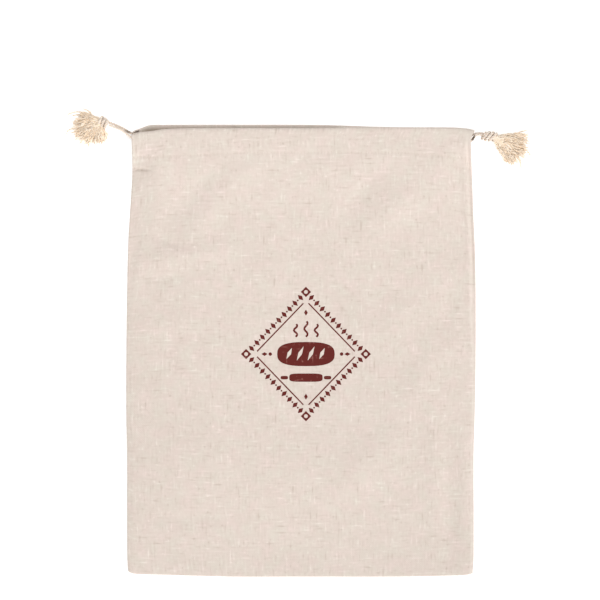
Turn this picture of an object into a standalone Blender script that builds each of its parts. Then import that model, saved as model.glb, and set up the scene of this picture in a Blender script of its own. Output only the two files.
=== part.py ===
"""A linen bread bag with two drawcords, lying flat on its back.

The bag lies on the surface z = 0 with its front panel up and its mouth towards +Y.
The origin is the middle of the bag's own box, on that surface.  Metres, +Z up.
"""
import math

import bmesh
import bpy
from mathutils import Vector

MM = 0.001

# ---------------------------------------------------------------- driving dimensions
CLOTH = 1.0 * MM               # thickness that a layer of linen is modelled with
CORD_DIAMETER = 2.0 * MM
CLEARANCE = 0.3 * MM           # between pieces that lie against each other

SLIT_END = 158.0 * MM          # the side seams stop at this height, where the slits begin
CASING_RISE = 6.0 * MM         # the casing swells from its stitches to the cords over this height
CASING_FOLD = 4.0 * MM         # and closes again towards its folded top edge over this one
CASING_EDGE = 2.2 * MM         # thickness of that folded edge
CASING = 2.0 * CLOTH + CORD_DIAMETER + 2.0 * CLEARANCE
INNER_LAYER_END = 136.4 * MM   # the turned-down layers stop here, short of the side edges

MOUTH_GAP_MIDDLE = 4.7 * MM    # between the two casings, at the middle of the mouth
MOUTH_GAP_SIDE = 0.6 * MM
MOUTH_HALF = 140.0 * MM        # the mouth's gap closes at this distance from the middle
MOUTH_RISE = 62.0 * MM         # the front panel rises to the mouth over this height

SEAM_GAP = 0.8 * MM            # between the panels, at the seams
BELLY = 8.0 * MM               # how much more the panels part at the middle of the bag
BELLY_SPAN = 150.0 * MM
BELLY_POWER = 2.6
BELLY_START = 110.0 * MM       # the front panel climbs over this height from the bottom fold
FOLD_MARGIN = 14.0 * MM        # the folds fade out over this width beside the seams
SEAM_WIDTH = 2.5 * MM          # sewn margin along the sides and the bottom
SEAM_EDGE_LOW = 0.9 * MM       # the sewn edge is rounded, between these two heights
SEAM_EDGE_HIGH = 1.9 * MM
PAST = 160.0 * MM              # how far the cutters run past the sides,
PAST_TOP = 220.0 * MM          # past the mouth
PAST_HEIGHT = 30.0 * MM        # and above the front panel
TUNNEL_START = 2.0 * MM        # the tunnel opens this far above the stitches
TUNNEL_END = 1.2 * MM          # and ends this far below the folded edge

# The sides of the bag, in millimetres.
SIDES = (
    # y,     left,   right
    (-197.3, -150.3, 149.4),
    (-180.0, -151.4, 150.5),
    (-90.0, -151.6, 150.5),
    (-60.0, -152.25, 151.4),
    (-10.0, -152.25, 152.25),
    (60.0, -151.4, 152.25),
    (95.0, -150.5, 151.4),
    (120.0, -149.0, 150.2),
    (150.0, -147.2, 149.2),
    (175.0, -147.0, 148.0),
    (190.0, -147.9, 147.6),
)

# The bottom fold, the two top edges and the row of stitches below them, in millimetres.
ENDS = (
    # x,     bottom,  front top, back top, stitches
    (-152.0, -191.0, 187.6, 191.0, 168.0),
    (-147.0, -193.6, 187.8, 191.6, 168.0),
    (-140.0, -194.9, 188.6, 194.2, 168.2),
    (-130.0, -195.5, 190.6, 196.7, 168.4),
    (-118.0, -195.7, 192.5, 197.2, 168.8),
    (-88.0, -196.6, 193.4, 197.3, 170.0),
    (-55.0, -197.3, 193.6, 197.3, 171.6),
    (15.0, -197.3, 194.4, 197.3, 172.0),
    (45.0, -197.3, 194.9, 196.2, 172.0),
    (90.0, -197.2, 194.5, 195.0, 171.6),
    (130.0, -196.4, 194.3, 194.8, 168.6),
    (141.0, -195.6, 193.6, 194.1, 168.0),
    (147.0, -194.2, 192.2, 192.7, 168.0),
    (152.0, -192.6, 190.4, 190.9, 168.0),
)

# The front panel's folds, in millimetres: a ridge stands up, a trough is below zero.
FOLDS = (
    # from x, y,     to x,   y,      half width, height
    (-49.0, 162.0, -131.0, 96.0, 12.0, -1.3),       # pull from the mouth to the left side
    (86.0, 156.0, 56.0, 118.0, 10.0, -1.1),         # pull below the mouth, right
    (121.0, 135.0, 69.0, 100.0, 9.0, 1.0),          # ridge beside it
    (-131.0, 101.0, -92.0, 89.0, 5.0, -1.1),        # sharp crease at the left
    (-140.0, 70.0, -53.0, 87.0, 9.0, 1.0),          # roll under that crease
    (-140.0, 61.0, -105.0, 61.0, 7.0, -0.8),        # hollow under the roll
    (8.0, 150.0, 15.0, 131.0, 6.0, -0.8),           # wrinkle below the casing, middle
    (121.0, 22.0, 138.0, 61.0, 6.0, -1.1),          # crease at the right side
    (86.0, 18.0, 125.0, -43.0, 9.0, 1.1),           # ridge that falls to the lower right
    (125.0, -43.0, 130.0, -130.0, 9.0, 1.1),
    (140.0, -70.0, 140.0, -182.0, 6.0, -0.9),       # hollow between it and the seam
    (-140.0, -147.0, -62.0, -146.0, 6.0, -0.7),     # low crease at the left
)

COLUMNS = 26                   # grid of the outer shape
ROWS = 20                      # from the bottom fold to the casing
EDGE_COLUMNS = 40              # along the front panel's top edge
POCKET_COLUMNS = 18
POCKET_ROWS = 15
TUNNEL_COLUMNS = 12
TUNNEL_STEPS = (0.0, 0.1, 0.2, 0.6, 0.87, 0.95, 1.0)
PAST_MOUTH = 1.3               # the pocket's cutter runs on past the mouth to this share of the casing
LAST_SINGLE = 3.0 * MM         # the panel is one layer up to this far below the stitches
CASING_STEPS = (0.0, 0.09, 0.18, 0.27, 0.55, 0.83, 0.90, 0.96, 1.0)

# The route of each drawcord, in millimetres, chosen by hand: out of its knot, along the front
# casing, round the end of the turned-down layers, and along the back casing to the knot again.
LEFT_ROUTE = (
    (-167.3, 195.8, 5.85), (-161.5, 193.9, 6.3), (-156.2, 191.6, 6.7), (-152.0, 188.7, 7.05),
    (-148.8, 185.9, 7.3), (-145.2, 184.2, 7.45), (-141.0, 183.4, 7.5), (-135.0, 183.2, 7.55),
    (-122.0, 183.2, 7.98),
    (-105.0, 183.2, 8.88), (-80.0, 183.2, 10.2), (-40.0, 183.2, 11.41), (0.0, 183.2, 11.6),
    (40.0, 183.2, 11.41), (80.0, 183.2, 10.2), (105.0, 183.2, 8.88), (122.0, 183.2, 7.98),
    (132.0, 183.2, 7.6), (140.0, 183.3, 7.45), (142.9, 184.1, 6.7), (144.1, 186.4, 4.9),
    (142.9, 188.7, 3.1), (140.0, 189.5, 2.35), (132.0, 189.6, 2.3), (100.0, 189.6, 2.3),
    (60.0, 189.6, 2.3), (20.0, 189.6, 2.3), (-20.0, 189.6, 2.3), (-60.0, 189.6, 2.3),
    (-100.0, 189.6, 2.3), (-128.0, 189.4, 2.3), (-139.0, 188.9, 2.3), (-145.0, 188.7, 2.3),
    (-148.0, 189.1, 2.4), (-151.2, 190.7, 2.6), (-154.5, 192.8, 3.0), (-158.5, 194.9, 3.4),
    (-162.7, 196.7, 3.8), (-167.1, 198.4, 4.05),
)
RIGHT_ROUTE = (
    (159.0, 186.3, 6.0), (155.6, 187.3, 6.5), (152.4, 186.4, 6.95), (150.0, 184.0, 7.3),
    (147.2, 181.8, 7.4), (143.0, 180.1, 7.5), (138.0, 179.2, 7.5), (130.0, 179.0, 7.66),
    (118.0, 179.0, 8.18),
    (100.0, 179.0, 9.2), (75.0, 179.0, 10.44), (40.0, 179.0, 11.41), (0.0, 179.0, 11.6),
    (-40.0, 179.0, 11.41), (-80.0, 179.0, 10.2), (-105.0, 179.0, 8.88), (-122.0, 179.0, 7.98),
    (-132.0, 179.0, 7.6), (-140.0, 179.1, 7.45), (-142.9, 179.9, 6.7), (-144.1, 182.2, 4.9),
    (-142.9, 184.5, 3.1), (-140.0, 185.3, 2.35), (-132.0, 185.4, 2.3), (-100.0, 185.4, 2.3),
    (-60.0, 185.4, 2.3), (-20.0, 185.4, 2.3), (20.0, 185.4, 2.3), (60.0, 185.4, 2.3),
    (100.0, 185.4, 2.3), (132.0, 185.4, 2.3), (139.0, 185.4, 2.3), (143.5, 185.7, 2.3),
    (147.5, 186.9, 2.4), (151.5, 188.4, 2.8), (155.5, 189.0, 3.4), (159.3, 188.45, 3.9),
)
ROUTE_STEP = 16.0              # longest step along a route, in millimetres

# Each knot: where its middle lies, and which way its cords leave it, in the plan, in degrees.
KNOT_RADIUS = 3.9 * MM
KNOT_LENGTH = 9.6 * MM
WRAP_RADIUS = 1.0 * MM
WRAP_PITCH = 2.35 * MM
WRAP_TILT = math.radians(24.0)
LEFT_KNOT = (-172.2 * MM, 198.4 * MM)
LEFT_KNOT_TURN = math.radians(-28.0)
RIGHT_KNOT = (164.0 * MM, 186.2 * MM)
RIGHT_KNOT_TURN = math.radians(-8.0)

# Each tassel's spread: the way a lock points in the plan, how far it reaches, and how much it curls.
LEFT_SPREAD = (
    # degrees, reach mm, curl mm
    (146.0, 21.0, 1.6),
    (163.0, 27.0, 2.0),
    (190.0, 26.5, 2.4),
    (215.0, 25.5, 2.4),
    (236.0, 20.5, 2.0),
    (262.0, 16.5, 1.6),
    (284.0, 16.5, 1.0),
)
RIGHT_SPREAD = (
    (9.0, 30.0, 0.4),
    (-8.0, 31.0, 0.5),
    (-24.0, 32.5, 0.6),
    (-42.0, 31.5, 0.6),
    (-59.0, 27.5, 0.5),
)
LOCK_WIDTH = 0.8 * MM
LOCK_FLARE = 0.9               # a lock is this much wider at its tip, where its yarns part
LOCK_STEPS = 7
# The layers of locks, from the one on the surface up: height where it lies, and share of the spread.
LOCK_LAYERS = (
    # height mm, share, locks, shortening
    (0.4, 1.00, 13, 1.00),
    (1.7, 0.92, 12, 0.96),
    (3.0, 0.80, 10, 0.90),
    (4.3, 0.62, 8, 0.82),
)


# ---------------------------------------------------------------- reading the tables
def ease(t):
    """Smooth step from 0 to 1."""
    t = min(max(t, 0.0), 1.0)
    return t * t * (3.0 - 2.0 * t)


def table(rows, at, column):
    """Read a column of a table at a place in its first column, by a smooth curve through the rows."""
    if at <= rows[0][0]:
        return rows[0][column]
    if at >= rows[-1][0]:
        return rows[-1][column]
    for index in range(len(rows) - 1):
        low, high = rows[index], rows[index + 1]
        if low[0] <= at <= high[0]:
            break
    before = rows[max(index - 1, 0)]
    after = rows[min(index + 2, len(rows) - 1)]
    span = high[0] - low[0]
    slope_low = (high[column] - before[column]) / (high[0] - before[0]) * span
    slope_high = (after[column] - low[column]) / (after[0] - low[0]) * span
    t = (at - low[0]) / span
    return ((2 * t ** 3 - 3 * t ** 2 + 1) * low[column] + (t ** 3 - 2 * t ** 2 + t) * slope_low
            + (3 * t ** 2 - 2 * t ** 3) * high[column] + (t ** 3 - t ** 2) * slope_high)


def side(y, column):
    """The bag's left (1) or right (2) edge at a height y."""
    return table(SIDES, y / MM, column) * MM


def bottom(x):
    return table(ENDS, x / MM, 1) * MM


def front_top(x):
    return table(ENDS, x / MM, 2) * MM


def back_top(x):
    return table(ENDS, x / MM, 3) * MM


def stitches(x):
    return table(ENDS, x / MM, 4) * MM


# ---------------------------------------------------------------- the cloth's surfaces
def folds(x, y):
    """Height that the folds add to the front panel."""
    total = 0.0
    for x0, y0, x1, y1, half_width, height in FOLDS:
        along = Vector((x1 - x0, y1 - y0))
        place = Vector((x / MM - x0, y / MM - y0))
        share = min(max(place.dot(along) / along.length_squared, 0.0), 1.0)
        distance = (place - share * along).length
        fade = math.sin(math.pi * (0.12 + 0.76 * share))
        total += height * MM * fade * math.exp(-((distance / half_width) ** 2))
    return total


def casing_thickness(x, y, top):
    """Thickness of a casing from its outer to its inner face, at a height y below its folded edge."""
    above = y - stitches(x)
    if above < 0.0:
        return CLOTH * (1.0 + max(above + LAST_SINGLE, 0.0) / LAST_SINGLE)
    swell = 2.0 * CLOTH + (CASING - 2.0 * CLOTH) * ease(above / CASING_RISE)
    depth = top - y
    if depth >= CASING_FOLD:
        return swell
    round_off = math.sqrt(max(1.0 - (1.0 - max(depth, 0.0) / CASING_FOLD) ** 2, 0.0))
    return min(swell, CASING_EDGE + (CASING - CASING_EDGE) * round_off)


def back_inside(x, y):
    """Upper face of the back panel, or of its casing's turned-down layer."""
    return casing_thickness(x, y, back_top(x))


def front_level(x, y):
    """Upper face of the front panel, without its casing's rounded edge."""
    across = max(1.0 - (abs(x) / BELLY_SPAN) ** BELLY_POWER, 0.0)
    climb = ease((y - bottom(x)) / BELLY_START)
    body = 2.0 * CLOTH + SEAM_GAP + BELLY * across * climb
    closing = max(1.0 - (abs(x) / MOUTH_HALF) ** 3, 0.0) ** 2
    mouth = 2.0 * CASING + MOUTH_GAP_SIDE + (MOUTH_GAP_MIDDLE - MOUTH_GAP_SIDE) * closing
    share = ease((y - stitches(x) + MOUTH_RISE) / (MOUTH_RISE + CASING_RISE))
    near_seam = ease((BELLY_SPAN - abs(x)) / FOLD_MARGIN) * ease((y - bottom(x)) / FOLD_MARGIN)
    flat_casing = 1.0 - ease((y - SLIT_END) / (stitches(x) - SLIT_END))
    return body * (1.0 - share) + mouth * share + folds(x, y) * near_seam * flat_casing


def front_inside(x, y):
    """Lower face of the front panel, or of its casing's turned-down layer."""
    at_edge = front_level(x, y) - CASING
    if front_top(x) - y < CASING_FOLD:
        return at_edge
    return front_level(x, y) - casing_thickness(x, y, front_top(x))


def front_outside(x, y):
    """Upper face of the front panel."""
    return front_inside(x, y) + casing_thickness(x, y, front_top(x))


# ---------------------------------------------------------------- mesh helpers
def collection(name):
    made = bpy.data.collections.new(name)
    bpy.context.scene.collection.children.link(made)
    return made


def finish_mesh(name, mesh_data, target):
    """Turn a bmesh into an object whose faces point outwards."""
    bmesh.ops.recalc_face_normals(mesh_data, faces=mesh_data.faces)
    mesh = bpy.data.meshes.new(name)
    mesh_data.to_mesh(mesh)
    mesh_data.free()
    made = bpy.data.objects.new(name, mesh)
    target.objects.link(made)
    return made


def grid_solid(name, places, low, high, target):
    """A closed solid between two heights over a grid of (x, y) places, given row by row."""
    data = bmesh.new()
    top = [[data.verts.new((x, y, high(x, y))) for x, y in row] for row in places]
    base = [[data.verts.new((x, y, low(x, y))) for x, y in row] for row in places]
    last_row = len(places) - 1
    last_column = len(places[0]) - 1
    for r in range(last_row):
        for c in range(last_column):
            for sheet in (top, base):
                data.faces.new((sheet[r][c], sheet[r][c + 1], sheet[r + 1][c + 1], sheet[r + 1][c]))
    rim = [(0, c) for c in range(last_column)]
    rim += [(r, last_column) for r in range(last_row)]
    rim += [(last_row, c) for c in range(last_column, 0, -1)]
    rim += [(r, 0) for r in range(last_row, 0, -1)]
    for (r0, c0), (r1, c1) in zip(rim, rim[1:] + rim[:1]):
        data.faces.new((base[r0][c0], base[r1][c1], top[r1][c1], top[r0][c0]))
    return finish_mesh(name, data, target)


def as_cutter(cutter):
    cutter.hide_render = True
    cutter.display_type = "WIRE"
    return cutter


def boolean(target, other, operation, crossing=False):
    """Cut or join; crossing says that the other object's own bodies run through each other."""
    modifier = target.modifiers.new(other.name, "BOOLEAN")
    modifier.operation = operation
    modifier.object = other
    modifier.solver = "EXACT"
    modifier.use_self = crossing


def paint(made, name, colour, roughness):
    """Give a piece its own Principled material."""
    material = bpy.data.materials.new(name)
    material.use_nodes = True
    shader = material.node_tree.nodes["Principled BSDF"]
    shader.inputs["Base Color"].default_value = (*colour, 1.0)
    shader.inputs["Roughness"].default_value = roughness
    shader.inputs["Metallic"].default_value = 0.0
    made.data.materials.append(material)
    return made


# ---------------------------------------------------------------- the bag
def spread(low, high, count, margin):
    """Places from low to high: one margin in from each end, and evenly between."""
    inner = [low + margin + (high - low - 2 * margin) * i / (count - 2) for i in range(count - 1)]
    return [low] + inner + [high]


def outer_rows():
    """Places of the outer shape: rows from the bottom fold to the back's top edge."""
    half = side(0.0, 2)
    columns = spread(-1.0, 1.0, COLUMNS, SEAM_WIDTH / half)
    rows = [[(across, bottom(across * half)) for across in columns]]
    for step in range(ROWS + 1):
        row = []
        for across in columns:
            start = bottom(across * half) + SEAM_WIDTH
            end = stitches(across * half) - LAST_SINGLE
            row.append((across, start + (end - start) * step / ROWS))
        rows.append(row)
    for step in CASING_STEPS:
        row = []
        for across in columns:
            start = stitches(across * half)
            row.append((across, start + (front_top(across * half) - start) * step))
        rows.append(row)
    rows.append([(across, back_top(across * half)) for across in columns])
    return [[(place_across(across, y), y) for across, y in row] for row in rows]


def place_across(across, y):
    """The x of a place between the two sides, from -1 at the left to 1 at the right."""
    left, right = side(y, 1), side(y, 2)
    return left + (right - left) * (across + 1.0) / 2.0


def edge_share(x, y):
    """1 on the sewn edge of the body, 0 away from it and in the casing."""
    sewn = 1.0 - ease((y - SLIT_END) / (6.0 * MM) + 0.5)
    distance = min(x - side(y, 1), side(y, 2) - x, y - bottom(x))
    return sewn if distance < 0.5 * SEAM_WIDTH else 0.0


def outer_low(x, y):
    return SEAM_EDGE_LOW * edge_share(x, y)


def outer_high(x, y):
    share = edge_share(x, y)
    return front_outside(x, y) * (1.0 - share) + SEAM_EDGE_HIGH * share


def place_inside(across, y):
    """The x of a place within the side seams, from -1 at the left to 1 at the right."""
    left, right = side(y, 1) + SEAM_WIDTH, side(y, 2) - SEAM_WIDTH
    return left + (right - left) * (across + 1.0) / 2.0


def pocket_rows():
    """Places of the space inside: within the seams, and past the sides above the slits' ends."""
    columns = [-1.0 + 2.0 * u / POCKET_COLUMNS for u in range(POCKET_COLUMNS + 1)]
    starts = [bottom(across * side(0.0, 2)) + SEAM_WIDTH for across in columns]
    rows = []
    for step in range(POCKET_ROWS + 1):
        level = [start + (SLIT_END - start) * step / POCKET_ROWS for start in starts]
        rows.append([(place_inside(across, y), y) for across, y in zip(columns, level)])
    inside = [x for x, _ in rows[-1]]
    past = [-PAST] + inside[1:-1] + [PAST]
    rows.append([(x, SLIT_END + SEAM_WIDTH) for x in past])
    rows.append([(x, stitches(near) - LAST_SINGLE) for x, near in zip(past, inside)])
    for step in CASING_STEPS + (PAST_MOUTH,):
        rows.append([(x, stitches(near) + (back_top(near) - stitches(near)) * step)
                     for x, near in zip(past, inside)])
    return rows


def tunnel_rows(top):
    """Places of a casing's tunnel, which is open past both sides."""
    reach = INNER_LAYER_END - 0.5 * MM
    middle = [-reach + 2.0 * reach * i / TUNNEL_COLUMNS for i in range(TUNNEL_COLUMNS + 1)]
    columns = [-PAST, -INNER_LAYER_END - 0.5 * MM] + middle + [INNER_LAYER_END + 0.5 * MM, PAST]
    rows = []
    for step in TUNNEL_STEPS:
        starts = [stitches(x) + TUNNEL_START for x in columns]
        rows.append([(x, start + (top(x) - TUNNEL_END - start) * step)
                     for x, start in zip(columns, starts)])
    return rows


def middle_of_gap(x, y):
    """A height between the two casings, the same all along the mouth."""
    return CASING + 0.5 * MOUTH_GAP_SIDE


def make_bag(parts, cutters):
    """One cloth: back and front panel, joined at the bottom and the sides, with their casings."""
    bag = grid_solid("bag_body", outer_rows(), outer_low, outer_high, parts)

    pocket = grid_solid("cut_pocket", pocket_rows(), back_inside, front_inside, cutters)
    boolean(bag, as_cutter(pocket), "DIFFERENCE")

    # Above the front panel's own top edge only the back panel goes on.
    xs = [PAST * (2.0 * i / EDGE_COLUMNS - 1.0) for i in range(EDGE_COLUMNS + 1)]
    rows = [[(x, front_top(x)) for x in xs], [(x, PAST_TOP) for x in xs]]
    above = grid_solid("cut_above_front", rows, middle_of_gap, lambda x, y: PAST_HEIGHT, cutters)
    boolean(bag, as_cutter(above), "DIFFERENCE")

    def past_inner_layer(x):
        return abs(x) > INNER_LAYER_END

    # Past the end of the turned-down layers the two tunnels run into each other.
    def back_tunnel_high(x, y):
        return middle_of_gap(x, y) + 0.1 * MM if past_inner_layer(x) else back_inside(x, y) - CLOTH

    def front_tunnel_low(x, y):
        return middle_of_gap(x, y) - 0.1 * MM if past_inner_layer(x) else front_inside(x, y) + CLOTH

    back_tunnel = grid_solid("cut_back_tunnel", tunnel_rows(back_top),
                             lambda x, y: CLOTH, back_tunnel_high, cutters)
    boolean(bag, as_cutter(back_tunnel), "DIFFERENCE")
    front_tunnel = grid_solid("cut_front_tunnel", tunnel_rows(front_top),
                              front_tunnel_low, lambda x, y: front_outside(x, y) - CLOTH, cutters)
    boolean(bag, as_cutter(front_tunnel), "DIFFERENCE")
    return paint(bag, "washed linen", (0.80, 0.70, 0.61), 0.9)


# ---------------------------------------------------------------- the drawcords
def smooth_route(points):
    """Places along a Catmull-Rom curve through the route's points, closest at the bends."""
    places = []
    for i in range(len(points) - 1):
        p0 = Vector(points[max(i - 1, 0)])
        p1 = Vector(points[i])
        p2 = Vector(points[i + 1])
        p3 = Vector(points[min(i + 2, len(points) - 1)])
        steps = max(2, round((p2 - p1).length / ROUTE_STEP))
        for k in range(steps):
            t = k / steps
            places.append(0.5 * (2 * p1 + (p2 - p0) * t + (2 * p0 - 5 * p1 + 4 * p2 - p3) * t * t
                                 + (3 * p1 - p0 - 3 * p2 + p3) * t ** 3))
    return places + [Vector(points[-1])]


def make_cord(name, route, parts):
    curve = bpy.data.curves.new(name, "CURVE")
    curve.dimensions = "3D"
    curve.bevel_depth = CORD_DIAMETER / 2.0
    curve.bevel_resolution = 2
    curve.use_fill_caps = True
    places = smooth_route(route)
    spline = curve.splines.new("POLY")
    spline.points.add(len(places) - 1)
    for point, place in zip(spline.points, places):
        point.co = (place.x * MM, place.y * MM, place.z * MM, 1.0)
    cord = bpy.data.objects.new(name, curve)
    parts.objects.link(cord)
    return paint(cord, name + " cotton", (0.82, 0.73, 0.62), 0.85)


# ---------------------------------------------------------------- knots and tassels
def lock_path(root, direction, reach, curl, height, knot_height):
    """Middle line of one lock of yarns, from inside the knot down to where it lies."""
    along = Vector((math.cos(direction), math.sin(direction), 0.0))
    across = Vector((-along.y, along.x, 0.0))
    path = []
    for i in range(LOCK_STEPS + 1):
        t = i / LOCK_STEPS
        fall = ease(min(t / 0.45, 1.0))
        sway = curl * math.sin(2.4 * math.pi * t) * t
        level = knot_height + (height - knot_height) * fall
        path.append(root + along * (reach * t) + across * sway + Vector((0.0, 0.0, level)))
    return path


def add_lock(data, path, width):
    """A lock of four sides, flat side down, that fans out towards its tip."""
    up = Vector((0.0, 0.0, 1.0))
    rings = []
    for i, place in enumerate(path):
        tangent = (path[min(i + 1, len(path) - 1)] - path[max(i - 1, 0)]).normalized()
        across = tangent.cross(up).normalized()
        half = 0.5 * width * (1.0 + LOCK_FLARE * i / (len(path) - 1))
        corners = ((-1, -1), (1, -1), (1, 1), (-1, 1))
        rings.append([data.verts.new(place + across * half * a + up * 0.5 * width * b)
                      for a, b in corners])
    for low, high in zip(rings, rings[1:]):
        for k in range(4):
            data.faces.new((low[k], low[(k + 1) % 4], high[(k + 1) % 4], high[k]))
    data.faces.new(reversed(rings[0]))
    data.faces.new(rings[-1])


def make_tassel(name, knot, turn, spread_rows, mirror, parts, cutters):
    """A knot with its wraps, and the frayed locks that spread from it over the surface."""
    height = KNOT_RADIUS + WRAP_RADIUS
    middle = Vector((knot[0], knot[1], 0.0))

    data = bmesh.new()
    bmesh.ops.create_uvsphere(data, u_segments=14, v_segments=8, radius=KNOT_RADIUS)
    bmesh.ops.scale(data, vec=(KNOT_LENGTH / (2.0 * KNOT_RADIUS), 1.0, 1.0), verts=data.verts)
    head = finish_mesh(name, data, parts)
    head.location = middle + Vector((0.0, 0.0, height))
    head.rotation_euler = (0.0, 0.0, turn)

    for index, offset in enumerate((-1.0, 0.0, 1.0)):
        radius = KNOT_RADIUS - (0.35 * MM if offset else 0.0)
        bpy.ops.mesh.primitive_torus_add(major_radius=radius, minor_radius=WRAP_RADIUS,
                                         major_segments=18, minor_segments=6)
        wrap = bpy.context.object
        wrap.name = "%s_wrap_%d" % (name, index)
        along = Vector((math.cos(turn), math.sin(turn), 0.0))
        wrap.location = head.location + along * offset * WRAP_PITCH
        wrap.rotation_euler = (0.0, math.pi / 2.0, turn + WRAP_TILT)
        for holder in wrap.users_collection:
            holder.objects.unlink(wrap)
        cutters.objects.link(wrap)
        boolean(head, as_cutter(wrap), "UNION")

    data = bmesh.new()
    side_of_root = Vector((math.cos(turn), math.sin(turn), 0.0)) * mirror
    root = middle + side_of_root * (0.5 * KNOT_LENGTH - 2.6 * MM)
    rows = [(i / (len(spread_rows) - 1),) + row for i, row in enumerate(spread_rows)]
    for layer, (level, share, locks, shortening) in enumerate(LOCK_LAYERS):
        for i in range(locks):
            place = 0.5 + ((i + 0.5 * (layer % 2)) / (locks - 0.5) - 0.5) * share
            degrees, reach, curl = (table(rows, place, column) for column in (1, 2, 3))
            uneven = 1.0 + 0.05 * math.sin(5.1 * i + 2.3 * layer)
            path = lock_path(root, math.radians(degrees), (reach + 2.6) * MM * shortening * uneven,
                             curl * MM, level * MM, height + (level - 2.4) * 0.9 * MM)
            add_lock(data, path, LOCK_WIDTH)
    tuft = finish_mesh(name + "_locks", data, cutters)
    boolean(head, as_cutter(tuft), "UNION", crossing=True)
    return paint(head, name + " cotton yarn", (0.82, 0.71, 0.57), 0.9)


# ---------------------------------------------------------------- the whole part
def clear_scene():
    for old in list(bpy.data.objects):
        bpy.data.objects.remove(old, do_unlink=True)


def main():
    clear_scene()
    parts = collection("linen bread bag")
    cutters = collection("cutters")
    make_bag(parts, cutters)
    make_cord("drawcord_left", LEFT_ROUTE, parts)
    make_cord("drawcord_right", RIGHT_ROUTE, parts)
    make_tassel("tassel_left", LEFT_KNOT, LEFT_KNOT_TURN, LEFT_SPREAD, -1.0, parts, cutters)
    make_tassel("tassel_right", RIGHT_KNOT, RIGHT_KNOT_TURN, RIGHT_SPREAD, 1.0, parts, cutters)


main()
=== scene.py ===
# %% [markdown]
# # A linen bread bag
#
# The real bag is one length of washed linen, folded in half at the bottom, sewn up both sides and
# turned right side out.  The top edges are folded down into two casings, and two twisted cotton
# cords run through them in opposite directions.  Each cord's two ends are knotted together and
# frayed into a tassel, one on the left and one on the right, so that pulling both closes the mouth.
#
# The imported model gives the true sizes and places.  This lesson dresses it: thin cloth instead of
# plain solids, plied cord, frayed yarn, stitches, a print, and materials with a weave.

# %% Load the frame
import math

import bmesh
import bpy
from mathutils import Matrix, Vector, noise


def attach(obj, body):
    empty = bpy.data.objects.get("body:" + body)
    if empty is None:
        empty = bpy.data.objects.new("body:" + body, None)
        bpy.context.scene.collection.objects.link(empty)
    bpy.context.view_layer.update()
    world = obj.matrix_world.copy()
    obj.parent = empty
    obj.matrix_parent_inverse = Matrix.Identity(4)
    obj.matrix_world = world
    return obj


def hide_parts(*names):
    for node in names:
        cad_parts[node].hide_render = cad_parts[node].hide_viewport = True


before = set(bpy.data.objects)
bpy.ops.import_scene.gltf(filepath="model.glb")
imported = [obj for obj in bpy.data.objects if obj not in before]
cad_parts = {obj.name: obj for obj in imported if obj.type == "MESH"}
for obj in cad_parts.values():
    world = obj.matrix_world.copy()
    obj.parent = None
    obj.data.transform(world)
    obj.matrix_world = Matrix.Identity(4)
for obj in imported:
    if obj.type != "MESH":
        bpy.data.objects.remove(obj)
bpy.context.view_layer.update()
MM = 0.001


# %% [markdown]
# ## Camera, light and floor
#
# The bag lies on a table and is seen straight from above, through a long lens far away, which
# keeps its sides parallel.  Half of the light comes evenly from all round.  A soft light overhead,
# nearer the mouth, makes the top a little brighter than the bottom, and a low sun from the lower
# right brings out the folds and leaves the inside of the mouth in shade.  The floor is a white
# table that glows a little, as a lit backdrop does, so that shadows stay faint.

# %% Camera
VIEW_WIDTH = 0.522                       # metres across the view
VIEW_MIDDLE = (-0.00087, 0.0437)
VIEW_HEIGHT = 0.008                      # the height where that width is measured
CAMERA_DISTANCE = 3.2
SENSOR_WIDTH = 36.0                      # millimetres


def to_scene(name, data):
    """Put an object that holds this data into the scene."""
    made = bpy.data.objects.new(name, data)
    bpy.context.scene.collection.objects.link(made)
    return made


camera_data = bpy.data.cameras.new("camera")
camera_data.sensor_width = SENSOR_WIDTH
camera_data.lens = SENSOR_WIDTH * CAMERA_DISTANCE / VIEW_WIDTH
camera_data.clip_end = 20.0
camera = to_scene("camera", camera_data)
camera.location = (*VIEW_MIDDLE, VIEW_HEIGHT + CAMERA_DISTANCE)
bpy.context.scene.camera = camera
bpy.context.scene.view_settings.view_transform = "Standard"
print("lens %.0f mm" % camera_data.lens)


# %% Colours and nodes
def linear(hex_colour):
    """Turn an sRGB hex colour into the linear values that a shader takes."""
    channels = [int(hex_colour[i:i + 2], 16) / 255.0 for i in (1, 3, 5)]
    return [c / 12.92 if c <= 0.04045 else ((c + 0.055) / 1.055) ** 2.4 for c in channels] + [1.0]


MATH, VECTOR, MIX = "ShaderNodeMath", "ShaderNodeVectorMath", "ShaderNodeMix"


def add(tree, kind, inputs=(), **settings):
    """Add a node with its settings.  Its inputs come in order, or by name, as values or as links."""
    made = tree.nodes.new(kind)
    for name, value in settings.items():
        setattr(made, name, value)
    for key, value in inputs.items() if isinstance(inputs, dict) else enumerate(inputs):
        if isinstance(value, bpy.types.Node):
            value = value.outputs[0]
        if isinstance(value, bpy.types.NodeSocket):
            tree.links.new(value, made.inputs[key])
        else:
            made.inputs[key].default_value = value
    return made


def open_material(material):
    """Give a material an empty tree of nodes."""
    material.use_nodes = True
    material.node_tree.nodes.clear()
    return material.node_tree


def close_material(tree, inputs):
    """End a material's tree with its shader, which takes these values and links, and its output."""
    add(tree, "ShaderNodeOutputMaterial", {"Surface": add(tree, "ShaderNodeBsdfPrincipled", inputs)})


# %% Light and floor
SURROUNDINGS = 0.48            # strength of the light from all round
FLOOR_GLOW = 0.36
FLOOR_HALF = 3.0               # metres
FLOOR_LEVEL = -0.1 * MM        # just under the back of the bag, so that the two never share a face

world = bpy.data.worlds.new("soft surroundings")
world.use_nodes = True
background = world.node_tree.nodes["Background"]
background.inputs["Color"].default_value = linear("#FFFDFB")
background.inputs["Strength"].default_value = SURROUNDINGS
bpy.context.scene.world = world

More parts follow.
